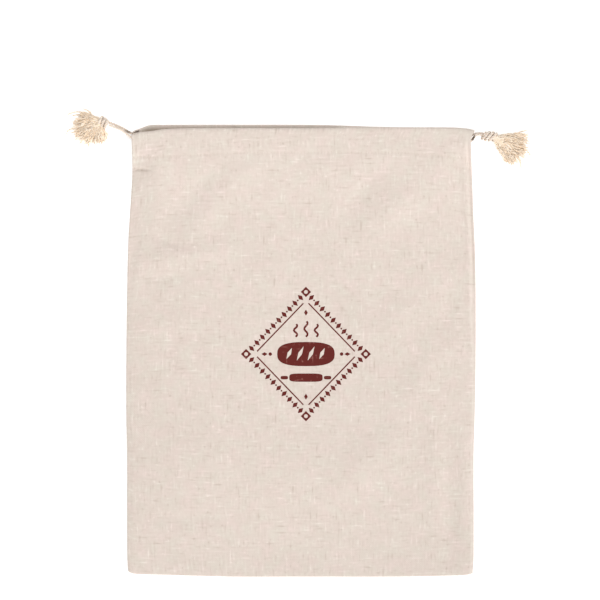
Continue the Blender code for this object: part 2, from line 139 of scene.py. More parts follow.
LIGHTS = (
    # name, kind, place, strength (watts, or a sun's own unit), size in metres or angle in degrees
    ("overhead", "AREA", (-0.30, 0.42, 1.25), 5.9, 0.7),
    ("key", "SUN", (0.55, -0.80, 0.70), 2.05, 12.0),
)
for name, kind, place, strength, size in LIGHTS:
    light = bpy.data.lights.new(name, kind)
    light.energy = strength
    if kind == "SUN":
        light.angle = math.radians(size)
    else:
        light.shape = "SQUARE"
        light.size = size
    lamp = to_scene(name, light)
    lamp.location = place
    lamp.rotation_euler = (-lamp.location).to_track_quat("-Z", "Y").to_euler()

# a painted board scatters light evenly, so nothing is mirrored in it and shadows stay soft
floor_material = bpy.data.materials.new("matt white table")
close_material(open_material(floor_material), {
    "Base Color": linear("#F8F8F8"), "Roughness": 0.95,
    "Emission Color": linear("#FFFFFF"), "Emission Strength": FLOOR_GLOW})
floor_mesh = bpy.data.meshes.new("table")
corners = [(x * FLOOR_HALF, y * FLOOR_HALF, FLOOR_LEVEL) for x, y in ((-1, -1), (1, -1), (1, 1), (-1, 1))]
floor_mesh.from_pydata(corners, [], [(0, 1, 2, 3)])
floor_mesh.materials.append(floor_material)
table_top = to_scene("table", floor_mesh)
print("light and floor are set")


# %% [markdown]
# ## The bag's measures
#
# The cloth keeps the form of its solid, so the same short tables come first: the sides, the two
# top edges, the bottom fold and the row of stitches, and the folds of the front panel.  A smooth
# curve is read through their rows.

# %% Tables
SIDES = (
    # y,     left,   right
    (-197.3, -150.3, 149.4),
    (-180.0, -151.4, 150.5),
    (-90.0, -151.6, 150.5),
    (-60.0, -152.25, 151.4),
    (-10.0, -152.25, 152.25),
    (60.0, -151.4, 152.25),
    (95.0, -150.5, 151.4),
    (120.0, -149.0, 150.2),
    (150.0, -147.2, 149.2),
    (175.0, -147.0, 148.0),
    (183.0, -147.4, 147.9),
    (187.0, -147.7, 148.9),
    (190.5, -147.9, 151.4),
)
ENDS = (
    # x,     bottom,  front top, back top, stitches
    (-152.0, -192.6, 187.2, 187.8, 168.0),
    (-147.0, -194.4, 187.9, 190.2, 168.0),
    (-144.0, -194.9, 188.8, 192.0, 168.1),
    (-140.0, -195.2, 189.8, 193.3, 168.2),
    (-134.0, -195.4, 190.4, 195.6, 168.3),
    (-130.0, -195.5, 190.8, 196.3, 168.4),
    (-118.0, -195.7, 192.4, 196.4, 168.8),
    (-88.0, -196.6, 193.2, 196.5, 170.0),
    (-55.0, -197.3, 193.2, 196.5, 171.6),
    (15.0, -197.3, 193.3, 196.3, 172.0),
    (45.0, -197.3, 193.8, 195.4, 172.0),
    (65.0, -197.3, 194.0, 194.7, 171.9),
    (90.0, -197.2, 193.9, 194.3, 171.6),
    (130.0, -196.4, 193.7, 194.1, 168.6),
    (141.0, -196.0, 193.0, 193.4, 168.0),
    (147.0, -195.2, 191.9, 192.3, 168.0),
    (152.0, -193.8, 190.3, 190.7, 168.0),
)
FOLDS = (
    # from x, y,     to x,   y,      half width, height
    (-99.0, 97.0, -60.0, 146.0, 11.0, 1.6),         # pull from the mouth to the left side
    (-60.0, 146.0, -34.0, 166.0, 9.0, 1.0),
    (-120.0, 108.0, -76.0, 158.0, 9.0, -0.8),       # hollow beside it
    (60.0, 108.0, 108.0, 144.0, 14.0, 2.2),         # pull below the mouth, right
    (42.0, 118.0, 66.0, 157.0, 8.0, -1.2),          # hollow beside it
    (-131.0, 101.0, -92.0, 89.0, 5.0, -0.7),        # sharp crease at the left
    (-138.0, 79.0, -56.0, 89.0, 9.0, 1.3),          # roll under that crease
    (-138.0, 62.0, -105.0, 62.0, 7.0, -0.8),        # hollow under the roll
    (20.0, 174.0, 23.0, 148.0, 6.0, 0.9),           # wrinkle below the casing, middle
    (64.0, 13.0, 104.0, 44.0, 12.0, 1.2),           # swell towards the right side
    (121.0, 15.0, 136.0, 58.0, 7.0, -1.2),          # crease at the right side
    (90.0, -54.0, 121.0, 5.0, 12.0, 1.6),           # ridge that falls to the lower right
    (114.0, -39.0, 118.0, -148.0, 9.0, 1.2),
    (129.0, -60.0, 129.0, -182.0, 7.0, -1.3),       # hollow between it and the seam
    (143.5, -60.0, 143.5, -180.0, 5.0, 0.8),
    (25.0, -122.0, 95.0, -69.0, 16.0, 1.6),         # broad swell above the bottom
    (-140.0, 25.0, -80.0, 25.0, 10.0, 0.6),         # low roll at the left
    (-140.0, -147.0, -62.0, -146.0, 6.0, -0.7),     # low crease at the left
)
CREASES = (
    # the finer creases that only the cloth itself shows; same columns
    (-134.0, 100.5, -96.0, 86.5, 1.8, -0.50),
    (-123.0, 87.0, -109.0, 93.5, 1.6, -0.25),
    (-136.0, 63.0, -84.0, 64.5, 2.2, -0.30),
    (86.0, 57.0, 142.0, 55.0, 2.4, 0.28),
    (128.0, 30.0, 131.0, 10.0, 2.0, -0.30),
    (-145.5, 158.2, -132.5, 157.2, 1.4, -1.70),     # the left slit's hem: its end is sewn down,
    (-142.5, 169.0, -136.0, 169.2, 1.4, -0.90),     # its start,
    (-131.6, 165.6, -131.0, 155.0, 1.4, -0.80),     # and its turned edge
    (-145.0, 152.0, -132.0, 153.0, 4.0, -0.25),
    (129.0, 166.0, 134.0, 141.0, 6.0, -0.80),       # and beside the right one
    (-138.0, 186.0, 20.0, 188.0, 9.0, 0.45),        # the cords lift the casing
    (57.0, -32.0, 45.0, -66.0, 2.0, -0.14),
    (45.0, -66.0, 44.0, -104.0, 2.2, -0.12),
    (-60.0, 66.0, -34.0, 70.0, 2.4, -0.12),
    (20.0, 72.0, 62.0, 69.0, 2.2, -0.12),
    (-128.0, -142.0, -88.0, -150.0, 2.2, -0.15),
    (-80.0, -103.0, -44.0, -107.0, 2.2, -0.18),
    (-84.0, -116.0, -50.0, -118.0, 2.0, -0.14),
    (-30.0, -160.0, 22.0, -166.0, 3.0, -0.12),
    (60.0, -150.0, 96.0, -158.0, 2.6, -0.12),
)

CLOTH = 1.0 * MM               # what a layer of the solid measures
CORD_DIAMETER = 2.0 * MM
CORD_ROOM = 0.6 * MM           # the casing's slack round the cord
CASING = 2.0 * CLOTH + CORD_DIAMETER + CORD_ROOM
CASING_RISE = 6.0 * MM         # it swells to that over this height above its stitches,
CASING_FOLD = 1.8 * MM         # and is rounded off this far from its folded edge,
CASING_EDGE = 2.8 * MM         # down to this thickness
MOUTH_GAP_MIDDLE = 4.7 * MM
MOUTH_GAP_SIDE = 0.6 * MM
MOUTH_HALF = 140.0 * MM
MOUTH_RISE = 62.0 * MM         # the front panel climbs to the mouth over this height
BELLY = 8.0 * MM               # how high the front panel lies over the seams
BELLY_SPAN = 150.0 * MM
BELLY_POWER = 2.6
BELLY_START = 110.0 * MM       # it climbs from the bottom fold over this height
SEAM_HEIGHT = 2.8 * MM
FOLD_MARGIN = 14.0 * MM        # folds fade out this near to a seam
SLIT_END = 158.0 * MM
FACING_END = 141.6 * MM        # the casing's inner layer stops short of the side, for the cords


def ease(t):
    """Smooth step from 0 to 1."""
    t = min(max(t, 0.0), 1.0)
    return t * t * (3.0 - 2.0 * t)


def table(rows, at, column):
    """Read a column of a table at a place in its first column, by a smooth curve through the rows."""
    if at <= rows[0][0]:
        return rows[0][column]
    if at >= rows[-1][0]:
        return rows[-1][column]
    index = next(i for i in range(len(rows) - 1) if rows[i][0] <= at <= rows[i + 1][0])
    low, high = rows[index], rows[index + 1]
    before = rows[max(index - 1, 0)]
    after = rows[min(index + 2, len(rows) - 1)]
    span = high[0] - low[0]
    slope_low = (high[column] - before[column]) / (high[0] - before[0]) * span
    slope_high = (after[column] - low[column]) / (after[0] - low[0]) * span
    t = (at - low[0]) / span
    return ((2 * t ** 3 - 3 * t ** 2 + 1) * low[column] + (t ** 3 - 2 * t ** 2 + t) * slope_low
            + (3 * t ** 2 - 2 * t ** 3) * high[column] + (t ** 3 - t ** 2) * slope_high)


def side(y, column):
    """The x of a side of the bag at a height y."""
    return table(SIDES, y / MM, column) * MM


def end(x, column):
    """The y of an end of the cloth, or of the stitches, at a place x."""
    return table(ENDS, x / MM, column) * MM


LEFT, RIGHT = 1, 2
BOTTOM, FRONT_TOP, BACK_TOP, STITCHES = 1, 2, 3, 4
print("the cloth is %.0f mm wide and the bag %.0f mm tall"
      % ((side(0, RIGHT) - side(0, LEFT)) / MM, (end(0, BACK_TOP) - end(0, BOTTOM)) / MM))


# %% [markdown]
# ## The cloth's height
#
# Everything that the front panel does is one height over the table: it climbs from the bottom fold
# to a low belly, the folds push it up and down, it rises to the mouth, and it drops to the seam at
# each side.  The stitches of the casing pull a small groove, and the cloth puckers beside them.
# A little noise keeps any stretch from being perfectly smooth, because washed linen never is.

# %% Height of the front panel
LAYER = 0.5 * MM               # real thickness of the linen
HEM_DEPTH = 1.15 * MM          # from a panel's outer face to its turned-in edge
SEAM_LEVEL = 2.0 * MM          # the front panel's height on the side seam
SEAM_ROLL = 5.0 * MM           # it drops to the seam over this width,
SLIT_ROLL = 24.0 * MM          # and more gently where the mouth lifts it, up to the slits
LIFT_START = 40.0 * MM         # the lift begins at this y,
LIFT_SPAN = SLIT_END - 60.0 * MM         # and takes this much to be complete
THINNER = 0.2 * MM             # the linen's upper face lies this much under the solid's
GROOVE = 0.22 * MM             # depth of the groove that the stitches pull
GROOVE_WIDTH = 1.1 * MM
PUCKER = 0.10 * MM             # the cloth puckers this much beside the casing's stitches,
PUCKERS = 150.0                # this many times a metre,
PUCKER_REACH = 7.0 * MM        # and less and less over this distance
SEAM_PUCKER = 0.16 * MM        # the same beside the side seams
SEAM_PUCKERS = 120.0
SEAM_PUCKER_REACH = 5.0 * MM
HELD_FLAT = 12.0 * MM          # the seams hold the small waves down this far in
SLIT_HEM = 15.5 * MM           # the slit's turned edge is sewn down this far in from the side
SLIT_STITCH_LOW = 157.6 * MM
SLIT_STITCH_HIGH = 165.0 * MM
FOLD_REACH = 3.2               # a fold is lost past this many half widths
UNEVEN = (
    # height, size and seed of the cloth's small waves, in mm
    (0.30, 38.0, 0.0), (0.10, 16.0, 5.0), (0.03, 6.0, 2.0),
)
ALLOWANCE = 0.95 * MM          # the turned-in seam shows through the right side as a low ridge
PIPING = (
    # mm in from the right side, width in mm, height as a share of that ridge
    (6.0, 2.6, 0.8),           # the allowance itself
    (2.9, 1.1, -1.0),          # the groove beside it
    (1.0, 0.8, 0.6),           # and the piped edge
)


def relief(rows, x, y):
    """Height that a table of folds adds at a place."""
    total = 0.0
    px, py = x / MM, y / MM
    for x0, y0, x1, y1, half_width, height in rows:
        dx, dy = x1 - x0, y1 - y0
        share = ((px - x0) * dx + (py - y0) * dy) / (dx * dx + dy * dy)
        share = min(max(share, 0.0), 1.0)
        distance = math.hypot(px - x0 - share * dx, py - y0 - share * dy)
        if distance < FOLD_REACH * half_width:
            fade = math.sin(math.pi * (0.12 + 0.76 * share))
            total += height * MM * fade * math.exp(-((distance / half_width) ** 2))
    return total


def front_level(x, y):
    """The form of the solid's front panel."""
    across = max(1.0 - (abs(x) / BELLY_SPAN) ** BELLY_POWER, 0.0)
    climb = ease((y - end(x, BOTTOM)) / BELLY_START)
    body = SEAM_HEIGHT + BELLY * across * climb
    closing = max(1.0 - (abs(x) / MOUTH_HALF) ** 3, 0.0) ** 2
    mouth = 2.0 * CASING + MOUTH_GAP_SIDE + (MOUTH_GAP_MIDDLE - MOUTH_GAP_SIDE) * closing
    share = ease((y - end(x, STITCHES) + MOUTH_RISE) / (MOUTH_RISE + CASING_RISE))
    near_seam = ease((BELLY_SPAN - abs(x)) / FOLD_MARGIN)
    near_seam *= ease((y - end(x, BOTTOM)) / FOLD_MARGIN)
    flat_casing = 1.0 - ease((y - SLIT_END) / (end(x, STITCHES) - SLIT_END))
    return body * (1.0 - share) + mouth * share + relief(FOLDS, x, y) * near_seam * flat_casing


def seam_distance(x, y):
    """How far a place is from the nearer side seam, which ends at the slit."""
    edge = min(x - side(y, LEFT), side(y, RIGHT) - x)
    return math.hypot(max(edge, 0.0), max(y - SLIT_END, 0.0))


def slit_stitch_distance(x, y):
    """How far a place is from the stitches that hold a slit's turned edge, across and then along."""
    edge = min(x - side(y, LEFT), side(y, RIGHT) - x)
    over = max(edge - SLIT_HEM, 0.0)
    below = max(SLIT_STITCH_LOW - y, y - SLIT_STITCH_HIGH, 0.0)
    return min(math.hypot(over, y - SLIT_STITCH_LOW), math.hypot(edge - SLIT_HEM, below))


def allowance_ridge(x, y):
    """The low ridge of the turned-in seam, which runs from 20 to 184 mm up the right side."""
    inset = (side(y, RIGHT) - x) / MM
    along = ease((y / MM - 20.0) / 60.0) * ease((184.0 - y / MM) / 8.0)
    total = 0.0
    for middle, width, height in PIPING:
        total += height * math.exp(-(((inset - middle) / width) ** 2))
    return ALLOWANCE * along * total


def seam_highlight(x, y):
    """How much painted highlight the right side gets where the turned-in seam backs the cloth, from 0 to 1.

    The backed strip lies 1.7 mm in from the side low down and 3.8 mm in higher up, and it fades
    beside the slit and under the mouth's edge.
    """
    upper = ease((y / MM + 30.0) / 60.0)
    middle = 1.7 + 2.1 * upper
    inset = (side(y, RIGHT) - x) / MM
    fading = (1.0 - 0.3 * ease((y / MM - 140.0) / 20.0)) * ease((188.0 - y / MM) / 6.0)
    return (0.65 + 0.35 * upper) * math.exp(-(((inset - middle) / 1.2) ** 2)) * fading


def fine_relief(x, y):
    """What the solid leaves out: puckers, the groove of stitches and small unevenness."""
    above = y - end(x, STITCHES)
    groove = -GROOVE * math.exp(-((min(abs(above), slit_stitch_distance(x, y)) / GROOVE_WIDTH) ** 2))
    pucker = PUCKER * noise.noise(Vector((x * PUCKERS, 7.0, 0.0))) * math.exp(-abs(above) / PUCKER_REACH)
    place = Vector((x, y, 0.0))
    uneven = 0.0
    for height, size, seed in UNEVEN:
        uneven += height * MM * noise.noise(place / (size * MM) + Vector((seed, 3.0, 1.0)))
    from_seam = seam_distance(x, y)
    seam_pucker = SEAM_PUCKER * noise.noise(Vector((2.0, y * SEAM_PUCKERS, 3.0 if x > 0 else 9.0)))
    seam_pucker *= math.exp(-from_seam / SEAM_PUCKER_REACH) * ease(from_seam / (1.5 * MM))
    return groove + pucker + uneven * ease(from_seam / HELD_FLAT) + seam_pucker


def cloth_level(x, y):
    """Height of the front panel's upper face, without its casing's rounded edge."""
    level = front_level(x, y) + fine_relief(x, y) - THINNER
    lifted = ease((y - LIFT_START) / LIFT_SPAN)
    down = 1.0 - seam_distance(x, y) / (SEAM_ROLL + (SLIT_ROLL - SEAM_ROLL) * lifted)
    if down > 0.0:
        level = level + (SEAM_LEVEL - level) * down ** 1.5
    creases = relief(CREASES, x, y) * ease(seam_distance(x, y) / (3.5 * MM))
    return level + creases + allowance_ridge(x, y)


def casing_depth(x, y, top):
    """Thickness of a casing at a height y below its folded edge."""
    above = y - end(x, STITCHES)
    swell = 2.0 * LAYER + (CASING - 2.0 * LAYER) * ease(above / CASING_RISE)
    depth = top - y
    if depth >= CASING_FOLD:
        return swell
    round_off = math.sqrt(max(1.0 - (1.0 - max(depth, 0.0) / CASING_FOLD) ** 2, 0.0))
    return min(swell, CASING_EDGE + (CASING - CASING_EDGE) * round_off)


def front_faces(x, y):
    """The front casing's outer and inner face."""
    top = end(x, FRONT_TOP)
    level = cloth_level(x, y)
    depth = casing_depth(x, y, top)
    if top - y < CASING_FOLD:
        inner = level - CASING
        return inner + depth, inner
    return level, level - depth


print("height over the table at the middle: %.1f mm" % (cloth_level(0.0, 0.0) / MM))


# %% [markdown]
# ## The cloth
#
# A real bag is one strip of cloth, so the mesh is one strip too.  It starts inside the front
# casing, goes over the front's top edge, down the front, round the bottom fold, up the back, over
# its top edge and down into the back casing.  At each side the strip turns in round the seam and
# ends in a narrow allowance inside.  One grid of points does all of it: a row says where along the
# strip it is, a column how far across.  Its UV map is the flat cloth in metres, so that the weave
# follows the cloth round every fold.  Solidify then gives it its 0.5 mm.

# %% Rows and columns of the strip
PANEL_COLUMNS = 118
FRONT_ROWS = 150
BACK_ROWS = 52
FACING_ROWS = 11
EDGE_FOLD_ROWS = 6
BOTTOM_FOLD_ROWS = 8
EDGE_IN = 1.1 * MM             # the panel's flat part starts this far in from the side
ROLL_RADIUS = 0.5 * HEM_DEPTH


def even(count):
    """Even shares from 0 to 1."""
    return [i / count for i in range(count + 1)]


# how far in from the side, and how deep below the panel's face (1 is the turned-in allowance)
TURN_IN = [(inset * MM, 1.0) for inset in (10.0, 7.0, 4.0, 2.0)]
for degrees in (-90, -60, -30, 0, 30, 60):
    angle = math.radians(degrees)
    TURN_IN.append((ROLL_RADIUS * (1.0 - math.cos(angle)) * 1.2, 0.5 - 0.5 * math.sin(angle)))

# columns stand closer together near the sides, where the seams pucker the cloth
shares = [share - 0.035 * math.sin(2 * math.pi * share) for share in even(PANEL_COLUMNS)]
closer = [0.5 * (a + b) for a, b in zip(shares[:4], shares[1:5])]
shares = sorted(shares + closer + [1.0 - share for share in closer])
columns = [("left", inset, deep) for inset, deep in TURN_IN]
columns += [("panel", share, 0.0) for share in shares]
columns += [("right", inset, deep) for inset, deep in reversed(TURN_IN)]


def across(column, y):
    """The x of a column at a height y."""
    kind, value, _ = column
    if kind == "left":
        return side(y, LEFT) + value
    if kind == "right":
        return side(y, RIGHT) - value
    low, high = side(y, LEFT) + EDGE_IN, side(y, RIGHT) - EDGE_IN
    return low + (high - low) * value


closer = [0.055 + 0.004 * i for i in range(14)]       # beside the casing's and the slits' stitches
STRIP = (
    # each part of the strip in its order, and the shares of it where its rows lie
    ("front facing", even(FACING_ROWS)),
    ("front fold", even(EDGE_FOLD_ROWS)[1:-1]),
    ("front", sorted(even(FRONT_ROWS) + closer)),
    ("bottom fold", even(BOTTOM_FOLD_ROWS)[1:-1]),
    ("back", even(BACK_ROWS)),
    ("back fold", even(EDGE_FOLD_ROWS)[1:-1]),
    ("back facing", even(FACING_ROWS)),
)
rows = [(part, share) for part, its_shares in STRIP for share in its_shares]
print(len(rows), "rows and", len(columns), "columns")


# %% Place each point
HEM_BELOW = 3.0 * MM           # the casing's hem ends this far below its stitches
FOLD_RADIUS = 0.5 * CASING_EDGE
FOLD_PINCH = 0.95              # the turned-in allowance goes round a fold this much tighter
NEAR_MOUTH = 188.0 * MM        # where a column's x is taken for its upper end,
NEAR_BOTTOM = -195.0 * MM      # and for its lower one
BOTTOM_RADIUS = 0.05 * MM      # of the allowance inside the bottom fold


def strip_place(row, column):
    """Where a point of the strip lies."""
    part, share = row
    deep = column[2]
    angle = math.pi * share
    pinched = 1.0 - FOLD_PINCH * deep
    near = across(column, NEAR_MOUTH)
    hem = end(near, STITCHES) - HEM_BELOW
    front_fold = end(near, FRONT_TOP) - FOLD_RADIUS
    back_edge = end(near, BACK_TOP)
    back_fold = back_edge - FOLD_RADIUS
    start = end(across(column, NEAR_BOTTOM), BOTTOM) + 0.5 * SEAM_LEVEL
    if part == "front facing":
        y = hem + (front_fold - hem) * share
        x = across(column, y)
        return x, y, front_faces(x, y)[1] + HEM_DEPTH * deep
    if part == "front fold":
        x = across(column, front_fold)
        outer, inner = front_faces(x, front_fold)
        middle, half = 0.5 * (outer + inner), 0.5 * (outer - inner) * pinched
        y = front_fold + FOLD_RADIUS * pinched * math.sin(angle)
        return x, y, middle - half * math.cos(angle)
    if part == "front":
        # the rows stand closer together near the casing
        t = 1.0 - share
        t = t + 0.10 * t * (1.0 - t)
        y = start + (front_fold - start) * t
        x = across(column, y)
        return x, y, front_faces(x, y)[0] - HEM_DEPTH * deep
    if part == "bottom fold":
        x = across(column, start)
        half = 0.5 * cloth_level(x, start)
        radius = half - (half - BOTTOM_RADIUS) * deep
        return x, start - radius * math.sin(angle), half + radius * math.cos(angle)
    if part == "back":
        y = start + (back_fold - start) * share
        return across(column, y), y, HEM_DEPTH * deep
    if part == "back fold":
        x = across(column, back_fold)
        half = 0.5 * casing_depth(x, back_fold, back_edge)
        y = back_fold + FOLD_RADIUS * pinched * math.sin(angle)
        return x, y, half - half * pinched * math.cos(angle)
    y = back_fold + (hem - back_fold) * share
    x = across(column, y)
    return x, y, casing_depth(x, y, back_edge) - HEM_DEPTH * deep


places = [[Vector(strip_place(row, column)) for column in columns] for row in rows]
print("placed", len(places) * len(places[0]), "points of cloth")


# %% Make the mesh, its flat-cloth map and its thickness
def flat_steps(line):
    """Distances from the first to each point of a line."""
    total, found = 0.0, [0.0]
    for a, b in zip(line, line[1:]):
        total += (b - a).length
        found.append(total)
    return found


# the flat cloth is measured along its middle column, and across a row low on the front
middle_column = len(columns) // 2
flat_v = flat_steps([row[middle_column] for row in places])
low_front_row = len(rows) // 2 - 20
flat_u = flat_steps(places[low_front_row])
flat_u = [u - flat_u[middle_column] for u in flat_u]

SHADE_FROM = 0.8 * MM          # painted shade darkens the inside of the mouth from here below its edge,
SHADE_OVER = 4.2 * MM          # over this depth

cloth_data = bmesh.new()
mouth_shade_layer = cloth_data.verts.layers.float.new("inside")
seam_highlight_layer = cloth_data.verts.layers.float.new("seam_highlight")
verts = [[cloth_data.verts.new(place) for place in row] for row in places]
uv_layer = cloth_data.loops.layers.uv.new("flat cloth")
for row, line in zip(rows, verts):
    # painted shade: the facings inside the mouth get a share of dark colour that grows with depth
    if row[0].endswith("facing"):
        for vert in line:
            top = end(vert.co.x, FRONT_TOP if row[0] == "front facing" else BACK_TOP)
            vert[mouth_shade_layer] = ease((top - vert.co.y - SHADE_FROM) / SHADE_OVER)
    # painted highlight along the right seam, where the turned-in allowance backs the linen
    if row[0] == "front":
        for vert in line:
            vert[seam_highlight_layer] = seam_highlight(vert.co.x, vert.co.y)
for r in range(len(rows) - 1):
    facing = rows[r][0].endswith("facing") and rows[r + 1][0].endswith("facing")
    for c in range(len(columns) - 1):
        beyond = max(abs(places[r][c].x), abs(places[r][c + 1].x)) > FACING_END
        if facing and (beyond or columns[c][0] != "panel" or columns[c + 1][0] != "panel"):
            continue
        corners = ((r, c), (r, c + 1), (r + 1, c + 1), (r + 1, c))
        face = cloth_data.faces.new([verts[i][j] for i, j in corners])
        face.smooth = True
        for loop, (i, j) in zip(face.loops, corners):
            loop[uv_layer].uv = (flat_u[j], flat_v[i])
loose = [v for v in cloth_data.verts if not v.link_faces]
bmesh.ops.delete(cloth_data, geom=loose, context="VERTS")
bmesh.ops.recalc_face_normals(cloth_data, faces=cloth_data.faces)
cloth_mesh = bpy.data.meshes.new("bag_cloth")
cloth_data.to_mesh(cloth_mesh)
cloth_data.free()
cloth = to_scene("bag_cloth", cloth_mesh)

top_face = max(cloth_mesh.polygons, key=lambda p: p.center.z)
if top_face.normal.z < 0.0:
    cloth_mesh.flip_normals()
thick = cloth.modifiers.new("cloth thickness", "SOLIDIFY")
thick.thickness = LAYER
thick.offset = -1.0
thick.use_even_offset = False
print("cloth: %d faces, %.3f x %.3f m flat"
      % (len(cloth_mesh.polygons), flat_u[-1] - flat_u[0], flat_v[-1]))
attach(cloth, "root")
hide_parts("bag_body")


# %% [markdown]
# ## The drawcords
#
# The cord is three cotton plies twisted together, 2 mm thick, so it is made as it is made in life:
# one route, and three strands that wind round it.  The route is the one that the solids use.  It
# leaves its knot, runs along the front casing, turns round the end of the casing's inner layer,
# and comes back along the back casing.  A Geometry Nodes tree copies the route three times,
# winds the copies and gives them their round section.

# %% Routes
LEFT_ROUTE = (
    (-167.3, 195.8, 5.85), (-161.5, 193.9, 6.3), (-156.2, 191.6, 6.7), (-152.0, 188.7, 7.05),
    (-148.8, 185.9, 7.3), (-145.2, 184.2, 7.45), (-141.0, 183.4, 7.5), (-135.0, 183.2, 7.55),
    (-122.0, 183.2, 7.98),
    (-105.0, 183.2, 8.88), (-80.0, 183.2, 10.2), (-40.0, 183.2, 11.41), (0.0, 183.2, 11.6),
    (40.0, 183.2, 11.41), (80.0, 183.2, 10.2), (105.0, 183.2, 8.88), (122.0, 183.2, 7.98),
    (132.0, 183.2, 7.6), (140.0, 183.3, 7.45), (142.9, 184.1, 6.7), (144.1, 186.4, 4.9),
    (142.9, 188.7, 3.1), (140.0, 189.5, 2.35), (132.0, 189.6, 2.3), (100.0, 189.6, 2.3),
    (60.0, 189.6, 2.3), (20.0, 189.6, 2.3), (-20.0, 189.6, 2.3), (-60.0, 189.6, 2.3),
    (-100.0, 189.6, 2.3), (-128.0, 189.4, 2.3), (-139.0, 188.9, 2.3), (-145.0, 188.7, 2.3),
    (-148.0, 189.1, 2.4), (-151.2, 190.7, 2.6), (-154.5, 192.8, 3.0), (-158.5, 194.9, 3.4),
    (-162.7, 196.7, 3.8), (-167.1, 198.4, 4.05),
)
RIGHT_ROUTE = (
    (159.0, 186.3, 6.0), (155.6, 187.5, 6.5), (152.2, 187.1, 6.95), (150.1, 184.9, 7.3),
    (148.2, 182.3, 7.4), (143.6, 180.2, 7.5), (138.0, 179.2, 7.5), (130.0, 179.0, 7.66),
    (118.0, 179.0, 8.18),
    (100.0, 179.0, 9.2), (75.0, 179.0, 10.44), (40.0, 179.0, 11.41), (0.0, 179.0, 11.6),
    (-40.0, 179.0, 11.41), (-80.0, 179.0, 10.2), (-105.0, 179.0, 8.88), (-122.0, 179.0, 7.98),
    (-132.0, 179.0, 7.6), (-140.0, 179.1, 7.45), (-142.9, 179.9, 6.7), (-144.1, 182.2, 4.9),
    (-142.9, 184.5, 3.1), (-140.0, 185.3, 2.35), (-132.0, 185.4, 2.3), (-100.0, 185.4, 2.3),
    (-60.0, 185.4, 2.3), (-20.0, 185.4, 2.3), (20.0, 185.4, 2.3), (60.0, 185.4, 2.3),
    (100.0, 185.4, 2.3), (132.0, 185.4, 2.3), (139.0, 185.4, 2.3), (143.5, 185.7, 2.3),
    (147.5, 186.9, 2.4), (151.5, 188.4, 2.8), (155.5, 189.0, 3.4), (159.3, 188.45, 3.9),
)


def smooth_route(points, step):
    """Places along a smooth curve through the route's points, in metres."""
    found = []
    for i in range(len(points) - 1):
        p0, p1 = Vector(points[max(i - 1, 0)]), Vector(points[i])
        p2, p3 = Vector(points[i + 1]), Vector(points[min(i + 2, len(points) - 1)])
        steps = max(2, round((p2 - p1).length / step))
        for k in range(steps):
            t = k / steps
            found.append(0.5 * (2 * p1 + (p2 - p0) * t + (2 * p0 - 5 * p1 + 4 * p2 - p3) * t * t
                                + (3 * p1 - p0 - 3 * p2 + p3) * t ** 3) * MM)
    return found + [Vector(points[-1]) * MM]


def route_curve(name, lines):
    """A curve object of one plain line for each list of places."""
    data = bpy.data.curves.new(name, "CURVE")
    data.dimensions = "3D"
    for line in lines:
        spline = data.splines.new("POLY")
        spline.points.add(len(line) - 1)
        for point, place in zip(spline.points, line):
            point.co = (*place, 1.0)
    return to_scene(name, data)


# %% Trees and how they are run
def open_tree(name, sizes):
    """A Geometry Nodes tree with a geometry input and output and one number input for each size."""
    tree = bpy.data.node_groups.new(name, "GeometryNodeTree")
    tree.interface.new_socket("Geometry", in_out="INPUT", socket_type="NodeSocketGeometry")
    for size, default in sizes.items():
        kind = "NodeSocketInt" if isinstance(default, int) else "NodeSocketFloat"
        tree.interface.new_socket(size, in_out="INPUT", socket_type=kind).default_value = default
    tree.interface.new_socket("Material", in_out="INPUT", socket_type="NodeSocketMaterial")
    tree.interface.new_socket("Geometry", in_out="OUTPUT", socket_type="NodeSocketGeometry")
    return tree, add(tree, "NodeGroupInput").outputs


def close_tree(tree, geometry, material):
    """Realize what the tree made, give it its material and send it out."""
    real = add(tree, "GeometryNodeRealizeInstances", {0: geometry}).outputs[0]
    done = add(tree, "GeometryNodeSetMaterial", {"Geometry": real, "Material": material}).outputs[0]
    add(tree, "NodeGroupOutput", {0: done})
    return tree


def smooth_faces(mesh):
    """Shade every face of a mesh smooth."""
    for polygon in mesh.polygons:
        polygon.use_smooth = True


def grow(source, tree, material, sizes, name):
    """Run a tree on an object and keep the result as a plain mesh under a new name."""
    modifier = source.modifiers.new("grow", "NODES")
    modifier.node_group = tree
    values = {**sizes, "Material": material}
    for item in tree.interface.items_tree:
        if item.in_out == "INPUT" and item.name in values:
            modifier[item.identifier] = values[item.name]
    bpy.context.view_layer.update()
    evaluated = source.evaluated_get(bpy.context.evaluated_depsgraph_get())
    mesh = bpy.data.meshes.new_from_object(evaluated)
    mesh.name = name
    smooth_faces(mesh)
    made = to_scene(name, mesh)
    bpy.data.objects.remove(source, do_unlink=True)
    print("%s: %d faces" % (name, len(mesh.polygons)))
    return made


# %% The tree that plies a cord
PLY_ORBIT = 0.262              # a ply's way round the cord's middle, as a share of the cord's diameter
PLY_RADIUS = 0.245             # and its own radius
PLY_SIDES = 7

tree, given = open_tree("ply a cord", {"Diameter": CORD_DIAMETER, "Lay": 7.5 * MM, "Plies": 3,
                                       "Step": 0.9 * MM})
line = add(tree, "GeometryNodeResampleCurve", {"Curve": given["Geometry"], "Length": given["Step"]},
           mode="LENGTH")
copies = add(tree, "GeometryNodeDuplicateElements", {"Geometry": line, "Amount": given["Plies"]},
             domain="SPLINE").outputs
run = add(tree, "GeometryNodeSplineParameter").outputs["Length"]
turns = add(tree, MATH, (run, given["Lay"]), operation="DIVIDE")
start = add(tree, MATH, (copies["Duplicate Index"], given["Plies"]), operation="DIVIDE")
turns = add(tree, MATH, (turns, start), operation="ADD")
angle = add(tree, MATH, (turns, 2.0 * math.pi), operation="MULTIPLY")
tangent = add(tree, "GeometryNodeInputTangent")
radius = add(tree, MATH, (given["Diameter"], PLY_ORBIT), operation="MULTIPLY")
outward = add(tree, VECTOR, {0: add(tree, "GeometryNodeInputNormal"), "Scale": radius}, operation="SCALE")
